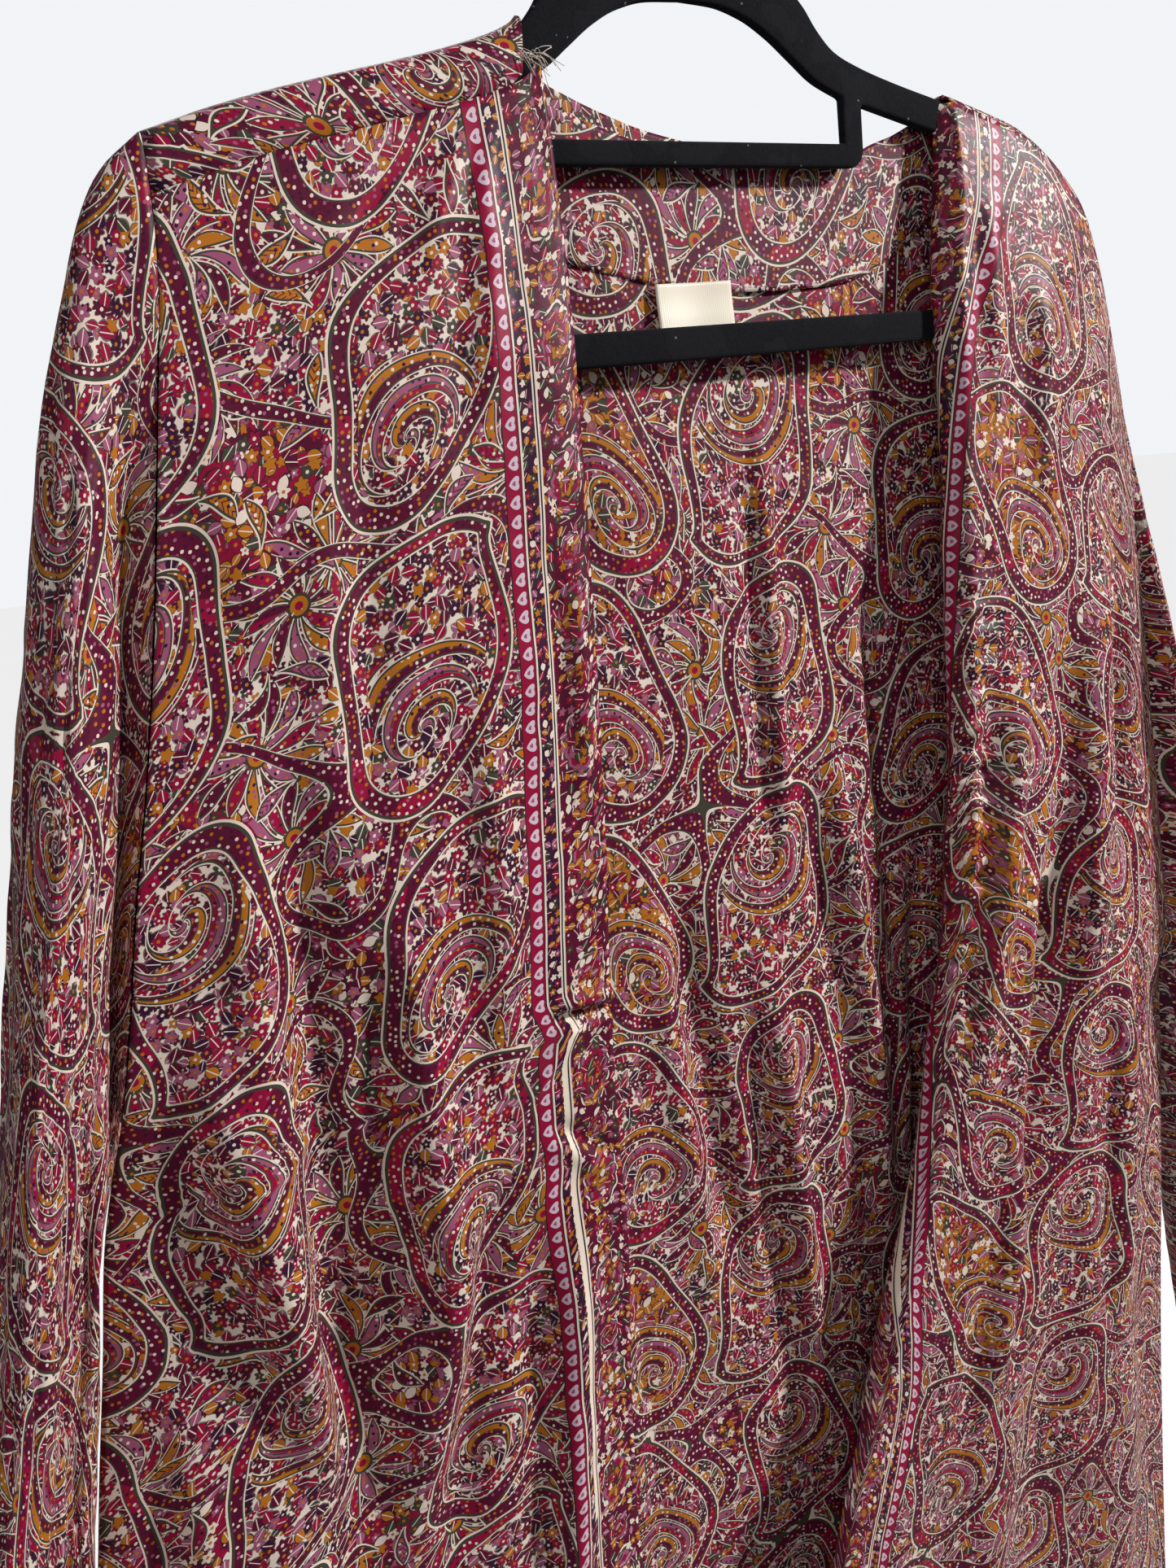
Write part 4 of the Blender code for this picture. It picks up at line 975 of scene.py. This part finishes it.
# columns: x top, z top, x foot, z foot, half width, height, fade
FRONT_LEFT_FOLDS = [
    (-236, -330, -292, -1270, 26, -9, 0.30), (-205, -430, -232, -1270, 24, 6, 0.4),
    (-160, -560, -262, -900, 20, -7, 0.35), (-318, -560, -352, -1270, 24, 9, 0.3),
    (-150, -700, -186, -1270, 24, 8, 0.4), (-385, -760, -392, -1270, 20, -5, 0.4)]
FRONT_RIGHT_FOLDS = [
    (172, -420, 70, -1270, 24, 8, 0.3), (212, -360, 150, -1270, 22, -6.5, 0.4),
    (250, -300, 232, -1270, 26, 7, 0.4), (150, -640, 8, -1270, 22, -6, 0.3),
    (298, -640, 290, -1270, 20, -5, 0.4)]
FRONT_SLACK = 15.0
bordered_silk = printed_silk("bordered_silk", True)


def front_grid(side_table, edge_table, arm, underarm, seam_run, folds, across, fine_to):
    """Points of a front panel from its side seam to its free edge, closest above a height."""
    left = arm[0] < 0.0
    tops = np.array([row[0] for row in LEFT_TOP] + [-85.0, -79.0] if left else
                    [row[0] for row in RIGHT_TOP[::-1]] + [158.5])
    share_in = np.abs(tops - tops[0]) / abs(tops[-1] - tops[0])
    rows = []
    for down_run in FRONT_TOP:
        run = seam_run + np.maximum(down_run, SEAM * np.sqrt(1.0 + crest_slope(tops) ** 2))
        z = crest_z(tops) - run
        rows.append((tops + (curve(side_table, z[0]) - tops[0]) * near_side(tops, tops[0]), z, run))
    yoke = rows[-1][1]
    for share in rows_below(yoke[0], underarm[1]):
        z = yoke + (HEM_Z - yoke) * share
        outer, inner = curve(side_table, z[0]), curve(edge_table, z[-1])
        keep_top = 1.0 - smooth(share / 0.12)
        settled = tops + (outer - tops[0]) * (1 - share_in) + (inner - tops[-1]) * share_in
        x = (outer + (inner - outer) * share_in) * (1.0 - keep_top) + settled * keep_top
        rows.append((x, z, crest_z(x) - z))
    mid = []
    for x, z, drop in rows:
        y = -body_depth(x, z, np.maximum(drop, 0.0), curve(side_table, z), arm, underarm, FRONT_SLACK, folds)
        mid.append(np.stack([x, y, z], 1))
    return finer(finer(np.array(mid), across, 1), lambda place: 2.6 if place[2] > fine_to else 6.0, 0)


def calm_seams(mid, side_table):
    """One over a front panel, nothing at its shoulder, side seam and hem."""
    x, z = mid[..., 0], mid[..., 2]
    down = run_along(mid, 0)
    return smooth(down / 60.0) * smooth((z - HEM_Z) / 30.0) * smooth(np.abs(x - curve(side_table, z)) / 45.0)


left_mid = front_grid(LEFT_SIDE, LEFT_EDGE, ARM_L, UNDERARM_L, SHOULDER_SEAM, FRONT_LEFT_FOLDS, 2.5, -850.0)
# columns: x and z at one end, x and z at the other, half width, height
LEFT_CREASES = [
    (-112, -128, -150, -196, 6, 4.6), (-128, -128, -180, -184, 6, -4.2), (-142, -511, -98, -515, 3.2, 5),
    (-138, -519, -100, -522, 3, -4), (-104, -124, -118, -176, 4, 3.2), (-150, -122, -196, -160, 6, 3.4),
    (-232, -330, -276, -800, 13, -13), (-170, -570, -240, -800, 12, -12), (-120, -515, -172, -562, 5, 4),
    (-150, -566, -112, -600, 4.5, -3.6), (-298, -420, -266, -780, 11, 8), (-200, -420, -214, -700, 11, 8),
    (-140, -600, -186, -900, 11, 9), (-96, -300, -108, -440, 6, 3), (-255, -180, -236, -340, 11, 4),
    (-110, -150, -130, -270, 7, 2.6), (-330, -600, -344, -900, 10, 6), (-180, -240, -214, -440, 10, -4.4),
    (-146, -340, -170, -580, 9, 4.4)]
x, z = left_mid[..., 0], left_mid[..., 2]
lift = creased(x, z, LEFT_CREASES) + waves(x, z, 1.4, 34.0, 14.0, 11)
left_mid = left_mid - outward(left_mid) * (lift * calm_seams(left_mid, LEFT_SIDE))[..., None]
edge = run_along(left_mid[:, ::-1], 1)[:, ::-1]
v = run_along(left_mid, 0) + 22.0
left_front = hang_cloth("left_front", "front_left", left_mid, bordered_silk, (360.0 - edge, v - 40.0), edge)

# Right front: the same, mirrored. Below the chest its free edge rolls in towards the wearer, and the
# border is hidden behind the crease, which is puckered.
# columns: z, width of the cloth that is turned in
TURNED_IN = [
    (-115, 10), (-182, 20), (-242, 40), (-350, 52), (-487, 61), (-560, 61), (-650, 54), (-756, 40),
    (-856, 11), (-1000, 6), (HEM_Z, 6)]
STRAIGHT_IN, ROLL_RADIUS = 7.0, 7.0
PUCKER = 2.3
ROLL_FROM, ROLL_TO = 0.62, 2.95     # how far the cloth has turned, at the crease and at its free edge
right_mid = front_grid(RIGHT_SIDE, RIGHT_EDGE, ARM_R, UNDERARM_R, RIGHT_SEAM, FRONT_RIGHT_FOLDS, 2.6, -900.0)
wide = curve(TURNED_IN, right_mid[:, -1, 2])
shares = np.linspace(0.0, 1.0, 24)
ahead, crease = [], right_mid[:, -1].copy()
for last_share, share in zip(shares, shares[1:]):
    far = wide * (last_share + share) / 2
    heading = np.clip(ROLL_FROM + np.maximum(far - STRAIGHT_IN, 0.0) / ROLL_RADIUS, ROLL_FROM, ROLL_TO)
    step = np.stack([-np.cos(heading), np.sin(heading), 0 * far], 1)
    crease = crease + step * (wide * (share - last_share))[:, None]
    ahead.append(crease)
panel_columns = right_mid.shape[1]
right_mid = np.concatenate([right_mid, np.stack(ahead, 1)], 1)
from_crease = run_from(right_mid, panel_columns - 1)
# columns: x and z at one end, x and z at the other, half width, height
RIGHT_CREASES = [
    (184, -400, 120, -660, 11, 9), (210, -490, 150, -840, 12, -11), (244, -350, 228, -660, 12, 7.5),
    (278, -310, 268, -580, 10, -6), (176, -680, 110, -920, 11, 9), (215, -190, 204, -350, 10, 4),
    (266, -600, 250, -920, 11, 8), (178, -150, 170, -280, 7, 3)]
x, z = right_mid[..., 0], right_mid[..., 2]
gathered = smooth((-330.0 - z) / 60.0) * smooth((z + 610.0) / 60.0)
pucker = bell(np.maximum(from_crease - 2.0, 0.0), 9.0) * bell(np.maximum(-from_crease, 0.0), 16.0)
gathers = np.sin(z / 2.6 + 2.2 * rumple(0 * x, z, 24.0, 21)) * (0.7 + 0.5 * rumple(from_crease, z, 17.0, 22))
lift = creased(x, z, RIGHT_CREASES) * smooth(-from_crease / 12.0) + waves(x, z, 1.4, 34.0, 14.0, 23)
lift = lift + PUCKER * gathered * pucker * gathers
right_mid = right_mid + outward(right_mid) * (lift * calm_seams(right_mid, RIGHT_SIDE))[..., None]
edge = np.maximum(wide[:, None] - from_crease, 0.0)
v = run_along(right_mid, 0) - 20.0
right_front = hang_cloth("right_front", "front_right", right_mid, bordered_silk, (edge + 280.0, v), edge)

# Sleeves: each a rectangle of the same silk, folded over the top, joined under the arm and set to a
# dropped armhole. It hangs folded nearly flat.
# columns: share along the sleeve, x top, z top, x under, z under, half depth, outward bow of the fold
SLEEVE_LEFT = [
    (0.00, -242, -140, -332, -523, 12, 0), (0.05, -258, -153, -339.5, -543, 13, 0),
    (0.10, -270, -171, -347, -565, 17, 0), (0.18, -284, -203, -357, -603, 23, 1),
    (0.30, -305, -269, -369, -660, 27, 3), (0.45, -328, -346, -384.5, -738, 30, 5),
    (0.60, -348, -423, -397, -812, 32, 9), (0.75, -369, -500, -410, -880, 33, 14),
    (0.90, -390, -570, -426, -935, 33, 20), (1.00, -404, -606, -434, -968, 32, 24)]
SLEEVE_RIGHT = [
    (0.00, 279, -230, 327, -653, 12, 0), (0.05, 284, -256, 334, -657, 13, 0),
    (0.10, 289, -281, 340.5, -669, 17, 0), (0.18, 297, -322, 347.5, -700, 23, 0),
    (0.30, 312, -386, 355, -755, 27, 1), (0.45, 334, -466, 362, -832, 30, 4),
    (0.60, 351, -540, 368, -905, 32, 8), (0.75, 369, -610, 374, -975, 33, 13),
    (0.90, 387, -682, 379, -1042, 33, 19), (1.00, 400, -726, 383, -1082, 32, 23)]
ALONG = [
    0, 0.02, 0.04, 0.06, 0.08, 0.105, 0.13, 0.16, 0.19, 0.225, 0.26, 0.30, 0.34, 0.39, 0.45, 0.52, 0.59,
    0.66, 0.73, 0.80, 0.87, 0.94, 1]
# columns: turn at the armhole and at the cuff, start, stop, spread, height
LEFT_SLEEVE_FOLDS = [
    ((1.1, 1.3), 0.15, 1, 0.30, -9), ((2, 1.9), 0.10, 1, 0.32, 6), ((4.2, 4.4), 0.15, 1, 0.35, -8),
    ((5.2, 5.2), 0.15, 1, 0.35, 5)]
RIGHT_SLEEVE_FOLDS = [
    ((1.3, 1.2), 0.15, 1, 0.30, -8), ((2.1, 2), 0.10, 1, 0.34, 6), ((4.1, 4.3), 0.15, 1, 0.35, -7),
    ((5.1, 5.2), 0.15, 1, 0.35, 5)]


def armhole_heights(arm, underarm, seam_run):
    """Heights round an armhole: up the front, over the crest and down the back."""
    top = float(crest_z(arm[0]))
    front_yoke = top - seam_run - FRONT_TOP[-1]
    front = [front_yoke + (underarm[1] - front_yoke) * share for share in ARMHOLE_ROWS[::-1]]
    front += [front_yoke] + [top - seam_run - run for run in FRONT_TOP[2:0:-1]]
    over = [float(run) for run in upper_rows(seam_run)]
    front += [top - run for run, after in zip(over[:4], over[1:5]) if run - after > 1.0]
    back = [top + run for run in over[4:]]
    back += [over[-1] + top + (underarm[1] - over[-1] - top) * share for share in ARMHOLE_ROWS]
    return np.array(front + back), np.array([-1.0] * len(front) + [1.0] * len(back))


def hang_sleeve(name, node, table, side_table, arm, underarm, seam_run, valley, folds, seed):
    """A sleeve from its armhole to its cuff, as a ring of columns that starts under the arm.

    valley is the hollow in its front below the armhole: from and to up the sleeve, its place and
    width along it, and its depth."""
    side = np.sign(arm[0])
    heights, face = armhole_heights(arm, underarm, seam_run)
    top = float(crest_z(arm[0]))
    up = (heights - underarm[1]) / (top - underarm[1])
    turn = np.arccos(np.clip(1.0 - 2.0 * up, -1.0, 1.0))
    turn = np.where(face < 0.0, turn, TURN - turn)
    mid = []
    for along in ALONG:
        tx, tz, ux, uz, deep, swell = [
            float(curve([(row[0], row[column]) for row in table], along)) for column in range(1, 7)]
        tz += (top - arm[1]) * (1.0 - along)
        z = uz + (tz - uz) * up
        bow = curve(side_table, heights) - underarm[0] - (arm[0] - underarm[0]) * up
        x = ux + (tx - ux) * up + bow * (1.0 - smooth(along / 0.5))
        x = x + side * (SEAM + swell * 4.0 * up * (1.0 - up))
        round_y = np.abs(np.sin(turn))
        mix = smooth(along / 0.14)
        y = armhole_depth(heights, arm, underarm) * (1.0 - mix) + deep * round_y ** 0.8 * mix
        low, high, at, wide, sunk = valley
        inside = smooth((up - low) / 0.12) * smooth((high - up) / 0.2)
        y = np.where(face < 0.0, y - sunk * inside * bell(along - at, wide), y)
        for turn_at, start, stop, spread, tall in folds:
            centre = turn_at[0] + (turn_at[1] - turn_at[0]) * along
            held = smooth((along - start) / 0.2) * smooth((stop - along) / 0.12 + 1.0)
            y = y + tall * held * bell(turn - centre, spread) * round_y
        mid.append(np.stack([x, face * y, z], 1))
    mid = finer(finer(np.array(mid), 3.6, 1), 3.6, 0)
    fold_line = mid[0, :, 2].argmax()
    u, v = run_from(mid, fold_line), run_along(mid, 0)
    around = run_from(mid * (1.0, 1.0, 0.0), fold_line) + side * mid[:, fold_line:fold_line + 1, 0]
    down = v / v[-1]
    held = smooth(down / 0.2) * smooth((1.02 - down) / 0.06)
    column = np.arange(mid.shape[1])
    ends = smooth(column / 12.0) * smooth(column[::-1] / 12.0)
    lift = 1.6 * rumple(u * 0.9, v * 0.35, 22.0, seed) + 0.7 * rumple(u, v * 0.6, 12.0, seed + 1)
    mid = mid + outward(mid, ring=True) * (lift * held * ends)[..., None]
    piece = hang_cloth(name, node, mid, all_over_silk, (around - 130.0, -mid[..., 2]), ring=True)


hang_sleeve("left_sleeve", "sleeve_left", SLEEVE_LEFT, LEFT_SIDE, ARM_L, UNDERARM_L, SHOULDER_SEAM,
            (0.02, 0.85, 0.055, 0.045, 9.5), LEFT_SLEEVE_FOLDS, 31)
hang_sleeve("right_sleeve", "sleeve_right", SLEEVE_RIGHT, RIGHT_SIDE, ARM_R, UNDERARM_R, RIGHT_SEAM,
            (0.1, 0.8, 0.06, 0.05, 5.0), RIGHT_SLEEVE_FOLDS, 41)

# Sewing: short stitches of pale cotton hold the facing's lower edge to the back. At the left neck
# point the raw edge has frayed, and loose ends of the silk's threads stand out.
STITCH, STITCH_GAP, THREAD = 2.1, 1.1, 0.16
STITCH_RISE = 0.22
LOOSE_ENDS = 26


def sewn(name, rows, finish):
    """Threads through lists of points, as one mesh of thin round strands."""
    drawing = bpy.data.curves.new(name, "CURVE")
    drawing.dimensions = "3D"
    drawing.bevel_depth = THREAD * MM
    drawing.bevel_resolution = 1
    drawing.use_fill_caps = True
    for row in rows:
        strand = drawing.splines.new("POLY")
        strand.points.add(len(row) - 1)
        for point, place in zip(strand.points, row):
            point.co = (*[part * MM for part in place], 1.0)
    thread = bpy.data.objects.new(name, drawing)
    bpy.context.scene.collection.objects.link(thread)
    bpy.ops.object.select_all(action="DESELECT")
    thread.select_set(True)
    bpy.context.view_layer.objects.active = thread
    bpy.ops.object.convert(target="MESH")
    shape_all()
    bpy.ops.mesh.remove_doubles(threshold=0.01 * MM)
    turn_outwards()
    thread.data.materials.append(finish)
    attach(thread, "root")


def stitched(line, normal, lift):
    """Stitches along a line of points, lying on the cloth."""
    far = run_along(line, 0)
    stitches = []
    for start in np.arange(2.0, far[-1] - STITCH, STITCH + STITCH_GAP):
        at = np.array([start, start + STITCH / 2, start + STITCH])
        rise = np.array([0.0, STITCH_RISE, 0.0])[:, None] + lift
        stitches.append(read(far, line, at) + read(far, normal, at) * rise)
    return stitches


cotton, _, _ = new_finish("pale_cotton", 0.7, dye(168, 132, 132))
fray, _, _ = new_finish("cream_threads", 0.7, dye(214, 200, 184))
facing_normal = outward(facing_mid)
inner = np.sign(-facing_normal[..., 1:2]) * facing_normal
low_row = len(facing_mid) - 2
sewn("facing_stitches", stitched(facing_mid[low_row], inner[low_row], SHELL / 2), cotton)
rng = np.random.default_rng(7)
left_point = left_mid[0, -1]
frayed = []
for _ in range(LOOSE_ENDS):
    start = left_point + np.array([rng.uniform(-9.0, 1.0), rng.uniform(-1.5, 1.0), rng.uniform(-1.0, 2.5)])
    heading = np.array([rng.uniform(0.2, 1.0), rng.uniform(-0.5, 0.2), rng.uniform(-0.7, 0.9)])
    length, droop = rng.uniform(3.0, 13.0), rng.uniform(0.1, 0.9)
    frayed.append([start + heading * length * s - np.array([0.0, 0.0, droop * length * s * s])
                   for s in (0.0, 0.3, 0.65, 1.0)])
sewn("frayed_ends", frayed, fray)
